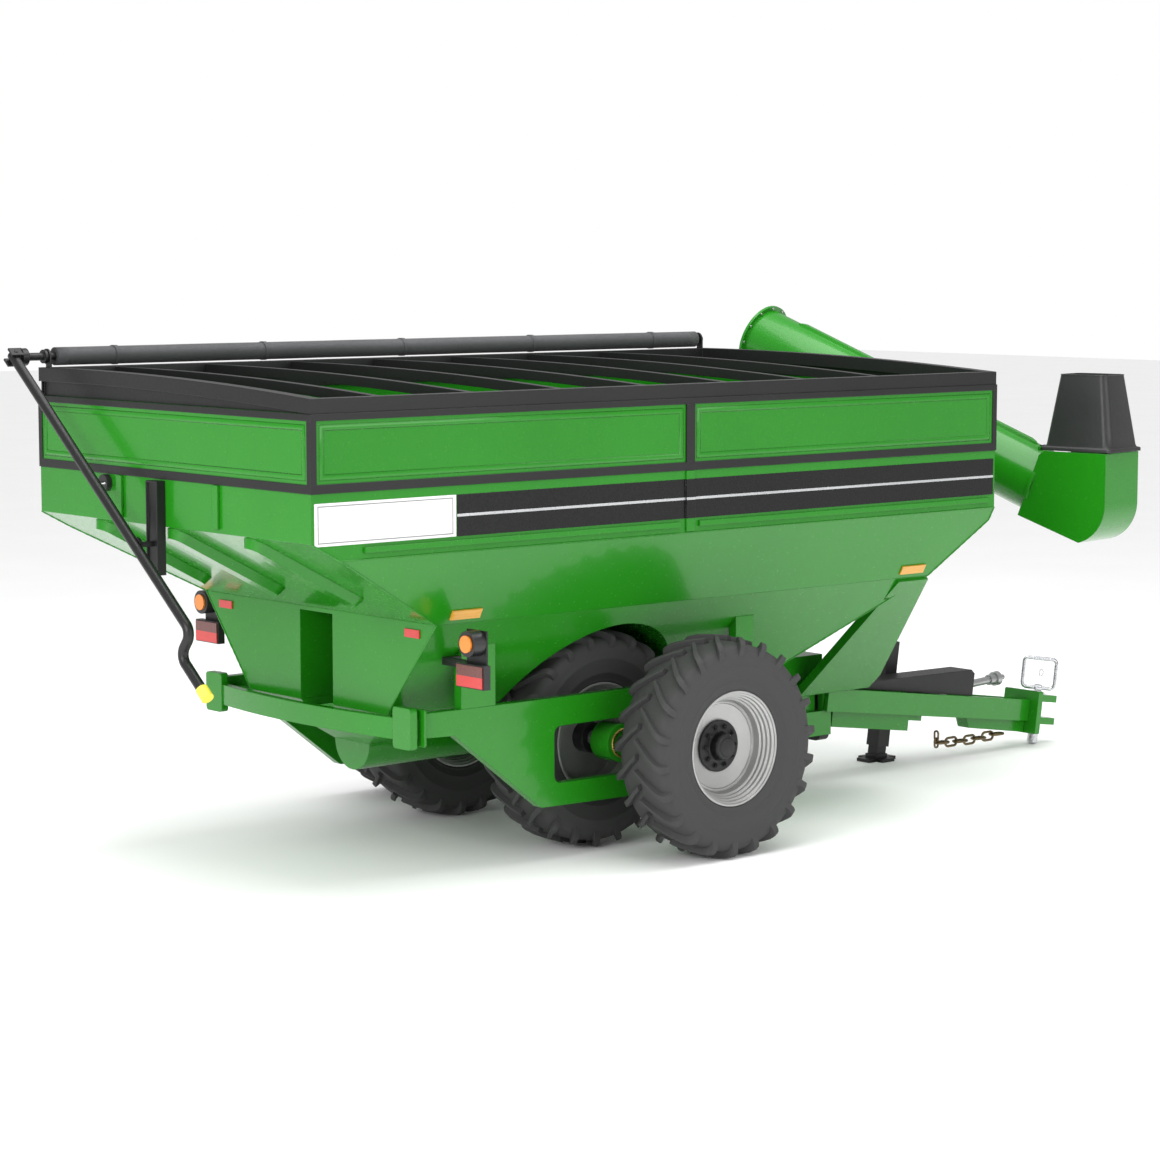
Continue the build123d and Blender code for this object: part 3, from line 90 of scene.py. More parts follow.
class Wiring:
    """Adds nodes to one node tree and links them."""

    def __init__(self, tree: bpy.types.NodeTree) -> None:
        """Wire into tree."""
        self.tree = tree

    def add(self, kind: str, inputs: dict | None = None, **settings: object) -> bpy.types.Node:
        """Add a node.

        Args:
            kind: Node type without its ShaderNode prefix.
            inputs: Socket values or sockets to link, by socket name or index.
            settings: Attributes of the node.

        Returns:
            The new node.
        """
        node = self.tree.nodes.new("ShaderNode" + kind)
        for name, value in settings.items():
            setattr(node, name, value)
        for name, value in (inputs or {}).items():
            self.feed(node.inputs[name], value)
        return node

    def feed(self, socket: bpy.types.NodeSocket, value: object) -> None:
        """Link value to socket if it is a socket, and otherwise set it as a constant."""
        if isinstance(value, bpy.types.NodeSocket):
            self.tree.links.new(value, socket)
        elif hasattr(value, "__len__") and socket.type == "RGBA":
            socket.default_value = (*value, 1.0)
        else:
            socket.default_value = value

    def math(self, operation: str, a: object, b: object = 0.0) -> bpy.types.NodeSocket:
        """Result of a math node on a and b."""
        return self.add("Math", {0: a, 1: b}, operation=operation).outputs[0]

    def spread(self, value: object, low: float, high: float, to_low: float,
               to_high: float) -> bpy.types.NodeSocket:
        """Value mapped from low..high to to_low..to_high, and held between them."""
        sockets = {"Value": value, "From Min": low, "From Max": high, "To Min": to_low, "To Max": to_high}
        return self.add("MapRange", sockets).outputs[0]

    def mix(self, factor: object, a: object, b: object) -> bpy.types.NodeSocket:
        """Colour between a and b."""
        node = self.add("Mix", data_type="RGBA")
        self.feed(node.inputs[0], factor)
        self.feed(node.inputs[6], a)
        self.feed(node.inputs[7], b)
        return node.outputs[2]

    def place(self) -> bpy.types.NodeSocket:
        """Position in the piece's own frame."""
        return self.add("TexCoord").outputs["Object"]

    def noise(self, vector: object, scale: object, detail: float = 3.0) -> bpy.types.NodeSocket:
        """Noise value at vector."""
        return self.add("TexNoise", {"Vector": vector, "Scale": scale, "Detail": detail}).outputs[0]


class EffectGroups:
    """Shader groups that several finishes share, each built when it is first asked for."""

    def __init__(self) -> None:
        """Start with no groups built."""
        self.built: dict[str, bpy.types.NodeTree] = {}

    def open(self, name: str, inputs: dict[str, float], outputs: dict[str, str]) -> tuple:
        """Start a group.

        Args:
            name: Name of the group.
            inputs: Default of each float input by name.
            outputs: Socket type of each output by name.

        Returns:
            The wiring, the group's input node and its output node.
        """
        tree = bpy.data.node_groups.new(name, "ShaderNodeTree")
        for label, default in inputs.items():
            socket = tree.interface.new_socket(label, in_out="INPUT", socket_type="NodeSocketFloat")
            socket.default_value = default
        for label, kind in outputs.items():
            tree.interface.new_socket(label, in_out="OUTPUT", socket_type=kind)
        self.built[name] = tree
        return Wiring(tree), tree.nodes.new("NodeGroupInput"), tree.nodes.new("NodeGroupOutput")

    def edge_wear_and_highlight(self) -> bpy.types.NodeTree:
        """Rubbed edges and painted edge highlights: a mask along the sharp edges and a normal that rounds
        them.
        """
        name = "edge_wear_and_highlight"
        if name not in self.built:
            kinds = {"Mask": "NodeSocketFloat", "Normal": "NodeSocketVector"}
            w, given, out = self.open(name, {"Radius": 0.006, "Strength": 3.0, "Patch Scale": 6.0}, kinds)
            bevel = w.add("Bevel", {"Radius": given.outputs["Radius"]}, samples=4)
            flat = w.add("NewGeometry").outputs["Normal"]
            dot = w.add("VectorMath", {0: bevel.outputs[0], 1: flat}, operation="DOT_PRODUCT")
            edge = w.math("SUBTRACT", 1.0, dot.outputs["Value"])
            patch = w.noise(w.place(), given.outputs["Patch Scale"], 5.0)
            patchy = w.math("MULTIPLY", w.spread(patch, 0.4, 0.7, 0.0, 1.0), given.outputs["Strength"])
            mask = w.add("Math", {0: edge, 1: patchy}, operation="MULTIPLY", use_clamp=True)
            w.feed(out.inputs["Mask"], mask.outputs[0])
            w.feed(out.inputs["Normal"], bevel.outputs[0])
        return self.built[name]

    def dust(self) -> bpy.types.NodeTree:
        """Dust that thins out with height and lies on faces that look up."""
        name = "dust"
        if name not in self.built:
            w, given, out = self.open(name, {"Amount": 0.2, "Top": 1.2}, {"Mask": "NodeSocketFloat"})
            geometry = w.add("NewGeometry")
            height = w.add("SeparateXYZ", {0: geometry.outputs["Position"]}).outputs["Z"]
            above = w.math("DIVIDE", w.math("SUBTRACT", height, GROUND), given.outputs["Top"])
            low = w.spread(above, 0.0, 1.0, 1.0, 0.12)
            facing = w.add("SeparateXYZ", {0: geometry.outputs["Normal"]}).outputs["Z"]
            lies = w.spread(facing, -0.2, 1.0, 0.45, 1.0)
            cloud = w.spread(w.noise(w.place(), 2.3, 8.0), 0.42, 0.68, 0.0, 1.0)
            speck = w.spread(w.noise(w.place(), 60.0, 2.0), 0.35, 0.75, 0.5, 1.0)
            mask = w.math("MULTIPLY", w.math("MULTIPLY", low, lies), w.math("MULTIPLY", cloud, speck))
            w.feed(out.inputs["Mask"], w.math("MULTIPLY", mask, given.outputs["Amount"]))
        return self.built[name]

    def mottle(self) -> bpy.types.NodeTree:
        """Slow and fast variation of a finish, as two masks and a fine height."""
        name = "mottle"
        if name not in self.built:
            kinds = {"Slow": "NodeSocketFloat", "Fast": "NodeSocketFloat", "Height": "NodeSocketFloat"}
            scales = {"Slow Scale": 0.7, "Fast Scale": 40.0, "Grain Scale": 300.0}
            w, given, out = self.open(name, scales, kinds)
            place = w.place()
            w.feed(out.inputs["Slow"], w.noise(place, given.outputs["Slow Scale"], 4.0))
            w.feed(out.inputs["Fast"], w.noise(place, given.outputs["Fast Scale"], 4.0))
            w.feed(out.inputs["Height"], w.noise(place, given.outputs["Grain Scale"], 2.0))
        return self.built[name]

    def brushed(self) -> bpy.types.NodeTree:
        """Fine lines left by turning or drawing the metal, along the piece's X."""
        name = "brushed"
        if name not in self.built:
            w, given, out = self.open(name, {"Scale": 90.0, "Stretch": 0.04}, {"Lines": "NodeSocketFloat"})
            stretched = w.add("CombineXYZ", {0: given.outputs["Stretch"], 1: 1.0, 2: 1.0}).outputs[0]
            vector = w.add("VectorMath", {0: w.place(), 1: stretched}, operation="MULTIPLY").outputs[0]
            w.feed(out.inputs["Lines"], w.noise(vector, given.outputs["Scale"], 6.0))
        return self.built[name]


GROUPS = EffectGroups()


@dataclass(frozen=True)
class Finish:
    """Base of every finish: a colour pair, a roughness range and the effects over them."""

    name: str
    colour: Colour
    deep: Colour
    rough: tuple[float, float] = (0.3, 0.4)
    metallic: float = 0.0
    coat: float = 0.0
    coat_rough: float = 0.05
    specular: float = 0.5
    grain_scale: float = 300.0
    grain_height: float = 0.0003
    # Colour and strength along the sharp edges: rubbed wear on most finishes, a painted highlight on the
    # green paint and the silver rim; cloth also tints its weave with this colour.
    worn: Colour = (0.5, 0.5, 0.5)
    wear: float = 0.0
    edge_radius: float = 0.006
    dust: float = 0.0
    dust_top: float = 1.6

    def material(self) -> bpy.types.Material:
        """Material of this finish, made the first time."""
        found = bpy.data.materials.get(self.name)
        return found or self.build()

    def build(self) -> bpy.types.Material:
        """Make the material.

        Returns:
            The new material.
        """
        material = bpy.data.materials.new(self.name)
        material.use_nodes = True
        w = Wiring(material.node_tree)
        shader = material.node_tree.nodes["Principled BSDF"]
        shader.inputs["Metallic"].default_value = self.metallic
        shader.inputs["Coat Weight"].default_value = self.coat
        shader.inputs["Coat Roughness"].default_value = self.coat_rough
        shader.inputs["Specular IOR Level"].default_value = self.specular
        mottle = w.add("Group", node_tree=GROUPS.mottle())
        mottle.inputs["Grain Scale"].default_value = self.grain_scale
        edge = w.add("Group", node_tree=GROUPS.edge_wear_and_highlight())
        edge.inputs["Radius"].default_value = self.edge_radius
        edge.inputs["Strength"].default_value = self.wear
        dust = w.add("Group", node_tree=GROUPS.dust())
        dust.inputs["Amount"].default_value = self.dust
        dust.inputs["Top"].default_value = self.dust_top
        colour, rough, height = self.surface(w, mottle)
        # Colour along the sharp edges: rubbed wear on most finishes, a painted highlight on the green paint
        # and the silver rim.
        colour = w.mix(edge.outputs["Mask"], colour, self.worn)
        colour = w.mix(dust.outputs["Mask"], colour, (0.36, 0.33, 0.27))
        dusty = w.math("MULTIPLY_ADD", dust.outputs["Mask"], 0.3)
        w.feed(dusty.node.inputs[2], rough)
        w.feed(shader.inputs["Base Color"], colour)
        w.feed(shader.inputs["Roughness"], dusty)
        bump = w.add("Bump", {"Strength": 1.0, "Distance": self.grain_height, "Height": height,
                              "Normal": edge.outputs["Normal"]})
        w.feed(shader.inputs["Normal"], bump.outputs[0])
        self.extras(w, shader)
        return material

    def surface(self, w: Wiring, mottle: bpy.types.Node) -> tuple:
        """Colour, roughness and height of the clean surface.

        Args:
            w: Wiring of the material.
            mottle: Its variation group.

        Returns:
            The three sockets.
        """
        shade = w.spread(mottle.outputs["Slow"], 0.3, 0.7, 0.0, 1.0)
        colour = w.mix(shade, self.deep, self.colour)
        rough = w.spread(mottle.outputs["Fast"], 0.3, 0.7, *self.rough)
        return colour, rough, mottle.outputs["Height"]

    def extras(self, w: Wiring, shader: bpy.types.Node) -> None:
        """Settings that only one kind of finish has."""


@dataclass(frozen=True)
class MachinedFinish(Finish):
    """Bare or plated steel with fine lines along it."""

    line_scale: float = 90.0

    def surface(self, w: Wiring, mottle: bpy.types.Node) -> tuple:
        """Colour and roughness that follow the machining lines.

        Args:
            w: Wiring of the material.
            mottle: Its variation group.

        Returns:
            The three sockets.
        """
        lines = w.add("Group", node_tree=GROUPS.brushed())
        lines.inputs["Scale"].default_value = self.line_scale
        mask = w.spread(lines.outputs["Lines"], 0.3, 0.7, 0.0, 1.0)
        tarnish = w.math("MULTIPLY", mask, w.spread(mottle.outputs["Slow"], 0.3, 0.7, 0.5, 1.0))
        rough = w.spread(mask, 0.0, 1.0, *self.rough)
        return w.mix(tarnish, self.deep, self.colour), rough, lines.outputs["Lines"]


@dataclass(frozen=True)
class ClothFinish(Finish):
    """Coated cloth with a plain weave showing through."""

    thread: float = 0.0016

    def surface(self, w: Wiring, mottle: bpy.types.Node) -> tuple:
        """Weave height under the coating.

        Args:
            w: Wiring of the material.
            mottle: Its variation group.

        Returns:
            The three sockets.
        """
        threads = []
        for direction in ("X", "Z"):
            wave = w.add("TexWave", {"Vector": w.place(), "Scale": 0.314 / self.thread, "Distortion": 0.6,
                                     "Detail": 1.0}, bands_direction=direction)
            threads.append(wave.outputs["Fac"])
        weave = w.math("MULTIPLY", *threads)
        colour, rough, _ = super().surface(w, mottle)
        return w.mix(w.math("MULTIPLY", weave, 0.5), colour, self.worn), rough, weave

    def extras(self, w: Wiring, shader: bpy.types.Node) -> None:
        """Soft sheen of the coating."""
        shader.inputs["Sheen Weight"].default_value = 0.12


@dataclass(frozen=True)
class LensFinish(Finish):
    """Moulded lens with fine optic ribs."""

    dark: Colour | None = None
    split: tuple[float, float] = (1.215, 1.40)

    def surface(self, w: Wiring, mottle: bpy.types.Node) -> tuple:
        """Ribbed colour, with a darker band where the lens has two chambers.

        Args:
            w: Wiring of the material.
            mottle: Its variation group.

        Returns:
            The three sockets.
        """
        ribs = w.add("TexWave", {"Vector": w.place(), "Scale": 26.0}, bands_direction="Y").outputs["Fac"]
        colour = w.mix(w.spread(ribs, 0.0, 1.0, 0.0, 0.8), self.deep, self.colour)
        if self.dark:
            height = w.add("SeparateXYZ", {0: w.place()}).outputs["Z"]
            low, high = self.split
            above = w.math("GREATER_THAN", height, low)
            below = w.math("LESS_THAN", height, high)
            band = w.math("MULTIPLY", above, below)
            colour = w.mix(band, colour, self.dark)
        return colour, w.spread(mottle.outputs["Fast"], 0.3, 0.7, *self.rough), ribs

    def extras(self, w: Wiring, shader: bpy.types.Node) -> None:
        """Clear plastic's index of refraction."""
        shader.inputs["IOR"].default_value = 1.49


# The lighter green worn colour along the edges is a painted highlight on the panel beads and edges, not
# rubbed paint.
GREEN = Finish("gloss_green_enamel", (0.013, 0.200, 0.006), (0.010, 0.178, 0.005), (0.20, 0.28), coat=0.25,
               coat_rough=0.05, specular=0.36, grain_scale=55.0, grain_height=0.0004,
               worn=(0.040, 0.25, 0.025), wear=0.7, edge_radius=0.010, dust=0.02)
BLACK = Finish("satin_black_paint", (0.011, 0.011, 0.0115), (0.007, 0.007, 0.0075), (0.34, 0.46), coat=0.05,
               coat_rough=0.25, specular=0.38, grain_scale=180.0, grain_height=0.0005,
               worn=(0.05, 0.05, 0.05), wear=1.2, edge_radius=0.008, dust=0.03)
BOOT_BLACK = Finish("moulded_boot_black", (0.024, 0.024, 0.025), (0.014, 0.014, 0.015), (0.30, 0.42),
                    grain_scale=420.0, grain_height=0.0006, worn=(0.10, 0.10, 0.10), wear=1.0, dust=0.10)
LAMP_BLACK = Finish("lamp_case_plastic", (0.020, 0.020, 0.021), (0.013, 0.013, 0.014), (0.28, 0.42),
                    grain_scale=500.0, grain_height=0.0004, worn=(0.1, 0.1, 0.1), wear=0.8, dust=0.12)
# The near-white worn colour, laid on strongly along the rim's edges, is a painted highlight on its lips and
# steps.
RIM_SILVER = Finish("cast_rim_silver", (0.44, 0.44, 0.435), (0.33, 0.33, 0.325), (0.34, 0.46),
                    metallic=0.75, grain_scale=150.0, grain_height=0.0022, worn=(0.85, 0.85, 0.84),
                    wear=4.0,
                    edge_radius=0.006, dust=0.08)
HUB_BLACK = Finish("hub_black_casting", (0.008, 0.008, 0.0085), (0.005, 0.005, 0.0055), (0.34, 0.48),
                   specular=0.38, grain_scale=120.0, grain_height=0.0012, worn=(0.06, 0.06, 0.06), wear=1.6,
                   dust=0.02)
RUBBER = Finish("tyre_rubber", (0.0085, 0.0087, 0.0094), (0.0055, 0.0057, 0.0063), (0.40, 0.56),
                specular=0.36, grain_scale=260.0, grain_height=0.0009, worn=(0.026, 0.026, 0.027), wear=1.6,
                edge_radius=0.009, dust=0.03, dust_top=1.9)
STEEL = MachinedFinish("machined_steel", (0.55, 0.55, 0.56), (0.34, 0.34, 0.35), (0.24, 0.40), metallic=1.0,
                       grain_height=0.0003, worn=(0.8, 0.8, 0.8), wear=1.5, dust=0.12)
SCREW_STEEL = MachinedFinish("grain_worn_steel", (0.50, 0.49, 0.47), (0.30, 0.28, 0.26), (0.22, 0.42),
                             metallic=1.0, grain_height=0.0004, worn=(0.8, 0.8, 0.79), wear=2.0, dust=0.2)
ZINC = MachinedFinish("zinc_plated_pin", (0.72, 0.72, 0.73), (0.52, 0.53, 0.56), (0.18, 0.34), metallic=1.0,
                      grain_height=0.0003, worn=(0.86, 0.86, 0.86), wear=1.0, dust=0.1, line_scale=60.0)
BRONZE = MachinedFinish("oiled_chain_bronze", (0.33, 0.24, 0.13), (0.14, 0.10, 0.06), (0.30, 0.50),
                        metallic=1.0, grain_height=0.0004, worn=(0.55, 0.44, 0.28), wear=2.0, dust=0.15)
BRASS = MachinedFinish("brass_thrust_ring", (0.62, 0.44, 0.14), (0.44, 0.29, 0.08), (0.22, 0.36),
                       metallic=1.0, grain_height=0.0002, worn=(0.8, 0.65, 0.3), wear=1.0)
CHROME = MachinedFinish("polished_handle", (0.82, 0.82, 0.83), (0.62, 0.62, 0.64), (0.08, 0.16),
                        metallic=1.0, grain_height=0.0001)
CLOTH = ClothFinish("vinyl_tarp_cloth", (0.034, 0.035, 0.038), (0.020, 0.021, 0.023), (0.42, 0.58),
                    grain_height=0.0006, worn=(0.10, 0.10, 0.11), dust=0.16, edge_radius=0.003)
YELLOW = Finish("moulded_yellow_grip", (0.86, 0.78, 0.10), (0.72, 0.60, 0.05), (0.36, 0.5),
                grain_scale=300.0, grain_height=0.0007, worn=(0.9, 0.86, 0.4), wear=0.8, dust=0.1)
RED_LENS = LensFinish("red_lamp_lens", (0.72, 0.035, 0.030), (0.42, 0.014, 0.012), (0.08, 0.16), coat=0.5,
                      grain_height=0.0010, dark=(0.115, 0.022, 0.016))
AMBER_LENS = LensFinish("amber_lamp_lens", (0.92, 0.30, 0.035), (0.66, 0.17, 0.012), (0.08, 0.16), coat=0.5,
                        grain_height=0.0010, dark=(0.62, 0.30, 0.025), split=(1.55, 1.80))
BAND_BLACK = Finish("black_side_band", (0.0055, 0.0055, 0.006), (0.004, 0.004, 0.0045), (0.22, 0.34),
                    coat=0.05, specular=0.34, grain_scale=60.0, grain_height=0.0002)
LINE_SILVER = Finish("silver_pinstripe", (0.62, 0.63, 0.64), (0.50, 0.51, 0.52), (0.26, 0.36), metallic=0.6,
                     grain_height=0.0002, dust=0.05)
PANEL_WHITE = Finish("white_side_panel", (0.80, 0.80, 0.79), (0.72, 0.72, 0.71), (0.24, 0.34), coat=0.5,
                     grain_scale=60.0, grain_height=0.0003, dust=0.10)
LINE_GREY = Finish("grey_panel_line", (0.30, 0.30, 0.31), (0.24, 0.24, 0.25), (0.3, 0.4),
                   grain_height=0.0002)

NODE_FINISHES: dict[str, Finish] = {
    "green_paint": GREEN, "black_paint": BLACK, "rim_silver": RIM_SILVER, "hub_black": HUB_BLACK,
    "tyre_rubber": RUBBER, "machined_steel": STEEL, "screw_steel": SCREW_STEEL, "zinc_pin": ZINC,
    "chain_steel": BRONZE, "tarp_cloth": CLOTH, "grip_yellow": YELLOW, "black_plastic": LAMP_BLACK,
    "red_lens": RED_LENS, "amber_lens": AMBER_LENS,
}


# ------------------------------------------------------------------ mesh building

@dataclass
class MeshPiece:
    """One piece of the model: a mesh that is built up and then dressed."""

    name: str
    body: Body | str
    finish: Finish
    slot: str
    smooth_angle: float = 38.0
    bm: bmesh.types.BMesh = field(default_factory=bmesh.new)

    def revolve(self, profile: Sequence[tuple[float, float]], centre: Vector, axis: Vector, start: Vector,
                steps: int, closed: bool = True) -> None:
        """Turn a profile about an axis.

        Args:
            profile: Radius and place along the axis of each point.
            centre: Origin of the axis.
            axis: Unit direction of the axis.
            start: Unit direction of angle zero.
            steps: Number of steps round the turn.
            closed: Whether the profile's ends join.
        """
        across = axis.cross(start)
        rings = []
        for i in range(steps):
            angle = math.tau * i / steps
            out = start * math.cos(angle) + across * math.sin(angle)
            rings.append([self.bm.verts.new(centre + out * r + axis * w) for r, w in profile])
        count = len(profile) if closed else len(profile) - 1
        for i in range(steps):
            a, b = rings[i], rings[(i + 1) % steps]
            for k in range(count):
                self.bm.faces.new((a[k], a[(k + 1) % len(profile)], b[(k + 1) % len(profile)], b[k]))

    def strip(self, sections: Sequence[Sequence[Vector]], closed: bool = False) -> None:
        """Skin a row of closed sections.

        Args:
            sections: Points of each section, the same number in each.
            closed: Whether the last section joins the first.
        """
        rings = [[self.bm.verts.new(p) for p in section] for section in sections]
        size = len(rings[0])
        pairs = list(zip(rings, rings[1:])) + ([(rings[-1], rings[0])] if closed else [])
        for a, b in pairs:
            for k in range(size):
                self.bm.faces.new((a[k], a[(k + 1) % size], b[(k + 1) % size], b[k]))
        if not closed:
            self.bm.faces.new(rings[0][::-1])
            self.bm.faces.new(rings[-1])

    def prism(self, outline: Sequence[Vector], depth: Vector, bevel: float = 0.0) -> None:
        """Push a flat outline along depth, and round its edges by bevel.

        Args:
            outline: Corners in order.
            depth: Direction and distance of the push.
            bevel: Radius of the rounded edges.
        """
        before = set(self.bm.edges)
        self.strip([list(outline), [p + depth for p in outline]])
        if bevel:
            edges = [e for e in self.bm.edges if e not in before]
            bmesh.ops.bevel(self.bm, geom=edges, offset=bevel, segments=2, profile=0.6, affect="EDGES",
                            clamp_overlap=True)

    def tube(self, path: Sequence[Vector], radius: float, steps: int = 12, closed: bool = False) -> None:
        """Sweep a round section along a path.

        Args:
            path: Points of the path.
            radius: Radius of the section.
            steps: Points round the section.
            closed: Whether the path is a loop.
        """
        sections = []
        side = None
        for i, point in enumerate(path):
            after = path[(i + 1) % len(path)] if closed or i + 1 < len(path) else point
            prior = path[i - 1] if closed or i else point
            along = (after - prior).normalized()
            if side is None:
                side = along.orthogonal().normalized()
            side = (side - along * side.dot(along)).normalized()
            up = along.cross(side)
            ring = []
            for k in range(steps):
                angle = math.tau * k / steps
                ring.append(point + (side * math.cos(angle) + up * math.sin(angle)) * radius)
            sections.append(ring)
        self.strip(sections, closed)

    def frame_bar(self, loop: Sequence[Vector], proud: Vector, width: float, bevel: float) -> None:
        """Raised bar that runs round a loop of corners in one plane.

        Args:
            loop: Corners of the bar's middle line.
            proud: Direction and height by which it stands up.
            width: Width of the bar.
            bevel: How much narrower its crest is on each side.
        """
        centre = sum(loop, Vector()) / len(loop)
        sections = []
        for point in loop:
            out = (point - centre)
            corner = Vector([math.copysign(1.0, c) if abs(c) > 1e-6 else 0.0 for c in out])
            half = corner * (width / 2)
            crest = corner * (width / 2 - bevel)
            sections.append([point - half, point - crest + proud, point + crest + proud, point + half])
        self.strip(sections, closed=True)

    def finish_mesh(self, replaces: Iterable[str] = ()) -> bpy.types.Object:
        """Turn the mesh into a dressed object that rides on its body.

        Args:
            replaces: CAD nodes that the piece stands for.

        Returns:
            The new object.
        """
        bmesh.ops.recalc_face_normals(self.bm, faces=self.bm.faces)
        mesh = bpy.data.meshes.new(self.name)
        self.bm.to_mesh(mesh)
        self.bm.free()
        mesh.materials.append(self.finish.material())
        piece = bpy.data.objects.new(self.name, mesh)
        bpy.context.scene.collection.objects.link(piece)
        mesh.shade_smooth()
        mesh.set_sharp_from_angle(angle=math.radians(self.smooth_angle))
        body = self.body.value if isinstance(self.body, Body) else self.body
        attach(piece, body)
        names = list(replaces)
        if names:
            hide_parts(*names)
        LOG.info("%s on %s: %d faces", self.name, body, len(mesh.polygons))
        return piece


def rounded_rectangle(plane: Callable[[float, float], Vector], width: float, depth: float, radius: float,
                      steps: int = 6) -> list[Vector]:
    """Outline of a rectangle with round corners.

    Args:
        plane: Gives the point at two distances from the middle.
        width: Size along the first direction.
        depth: Size along the second direction.
        radius: Radius of the corners.
        steps: Steps in each corner.

    Returns:
        The outline's points in order.
    """
    points = []
    for quarter, (sx, sy) in enumerate(((1, 1), (-1, 1), (-1, -1), (1, -1))):
        for i in range(steps + 1):
            angle = math.pi / 2 * (quarter + i / steps)
            x = sx * (width / 2 - radius) + radius * math.cos(angle)
            y = sy * (depth / 2 - radius) + radius * math.sin(angle)
            points.append(plane(x, y))
    return points


# ------------------------------------------------------------------ wheels

@dataclass
class Wheel:
    """One wheel: a lugged tyre, a stepped rim and a bolted hub."""

    key: str
    outward: int
    radius: float = 0.830
    lug_count: int = 22
    lug_half_base: float = 0.037
    lug_half_top: float = 0.027
    bolt_count: int = 10
    bolt_circle: float = 0.150
    steps: int = 160
    spindle_bore: float = 0.0605

    def __post_init__(self) -> None:
        """Take the wheel's centre from its CAD tyre."""
        low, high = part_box("tyre_" + self.key)
        self.centre = (low + high) / 2
        self.axis = Vector((0.0, self.outward, 0.0))
        self.start = Vector((0.0, 0.0, 1.0))
        self.across = self.axis.cross(self.start)

    def point(self, radius: float, width: float, angle: float) -> Vector:
        """Place at a radius, a distance outward and an angle."""
        turn = self.start * math.cos(angle) + self.across * math.sin(angle)
        return self.centre + turn * radius + self.axis * width

    def tyre(self) -> None:
        """Carcass with its moulded rings, and two rows of lugs that curl over the shoulders."""
        piece = MeshPiece("lugged_tyre_" + self.key, "wheel_" + self.key, RUBBER, "tyre_rubber", 32.0)
        half = [(0.4345, 0.186), (0.4345, 0.199), (0.446, 0.208), (0.462, 0.209), (0.470, 0.214),
                (0.500, 0.225), (0.506, 0.230), (0.514, 0.231), (0.520, 0.229), (0.560, 0.238),
                (0.610, 0.2425), (0.616, 0.2455), (0.624, 0.2455), (0.630, 0.2425), (0.670, 0.2425),
                (0.705, 0.239), (0.738, 0.230), (0.760, 0.214), (0.774, 0.188), (0.783, 0.120),
                (0.787, 0.060)]
        profile = half + [(0.788, 0.0)] + [(r, -w) for r, w in reversed(half)]
        piece.revolve(profile, self.centre, self.axis, self.start, self.steps)
        for row in (1, -1):
            for i in range(self.lug_count):
                self.lug(piece, row, math.tau * (i + (0.5 if row < 0 else 0.0)) / self.lug_count)
        piece.finish_mesh(["tyre_" + self.key])

    def lug(self, piece: MeshPiece, row: int, angle: float) -> None:
        """Add one chevron lug.

        Args:
            piece: Tyre that it belongs to.
            row: 1 for the outer row and -1 for the inner one.
            angle: Angle of its inner end.
        """
        path = [
            (0.000, (0.770, -0.012), (0.8290, -0.010)), (0.055, (0.770, 0.050), (0.8295, 0.050)),
            (0.120, (0.768, 0.110), (0.8285, 0.110)), (0.175, (0.762, 0.160), (0.8260, 0.165)),
            (0.210, (0.752, 0.190), (0.8200, 0.205)), (0.230, (0.738, 0.206), (0.8080, 0.234)),
            (0.240, (0.722, 0.220), (0.7900, 0.2495)), (0.245, (0.706, 0.228), (0.7680, 0.2540)),
            (0.247, (0.692, 0.233), (0.7440, 0.2520)), (0.248, (0.684, 0.236), (0.7220, 0.2460)),
        ]
        sections = []
        for i, (turn, (base_r, base_w), (top_r, top_w)) in enumerate(path):
            grow = 0.82 + 0.35 * min(1.0, i / 5)
            base, top = self.lug_half_base * grow, self.lug_half_top * grow
            a = angle + turn
            sections.append([
                self.point(base_r, row * base_w, a - base),
                self.point(top_r - 0.003, row * top_w, a - top),
                self.point(top_r, row * top_w, a - top + 0.006),
                self.point(top_r, row * top_w, a + top - 0.006),
                self.point(top_r - 0.003, row * top_w, a + top),
                self.point(base_r, row * base_w, a + base),
            ])
        piece.strip(sections)

    def rim(self) -> None:
        """Stepped rim with a deep dish and a raised ring round the bolted disc."""
        piece = MeshPiece("stepped_rim_" + self.key, "wheel_" + self.key, RIM_SILVER, "rim_silver", 28.0)
        front = [(0.4335, 0.192), (0.4335, 0.2055), (0.4300, 0.2075), (0.4200, 0.2075), (0.4165, 0.2050),
                 (0.4150, 0.1930), (0.4010, 0.1880), (0.3985, 0.1850), (0.3975, 0.1640), (0.3850, 0.1590),
                 (0.3825, 0.1560), (0.3815, 0.1340), (0.3700, 0.1290), (0.3675, 0.1260), (0.3665, 0.1040),
                 (0.3560, 0.0990), (0.3535, 0.0960), (0.3490, 0.0580), (0.3440, 0.0440), (0.3400, 0.0440),
                 (0.3370, 0.0500), (0.3250, 0.0500), (0.3220, 0.0440), (0.3180, 0.0360), (0.2500, 0.0220),
                 (0.1950, 0.0120), (0.1200, 0.0080)]
        back = [(0.1200, -0.0080), (0.2600, 0.0020), (0.3300, 0.0160), (0.3500, 0.0100), (0.3560, -0.0900),
                (0.3900, -0.1300), (0.4000, -0.1850), (0.4200, -0.2075), (0.4335, -0.2055),
                (0.4335, -0.1920), (0.4040, -0.1850), (0.4000, -0.1300), (0.3660, -0.0950),
                (0.3640, 0.0900), (0.3760, 0.1200), (0.3960, 0.1500), (0.4060, 0.1850)]
        piece.revolve(front + back, self.centre, self.axis, self.start, self.steps)
        piece.finish_mesh(["rim_" + self.key])

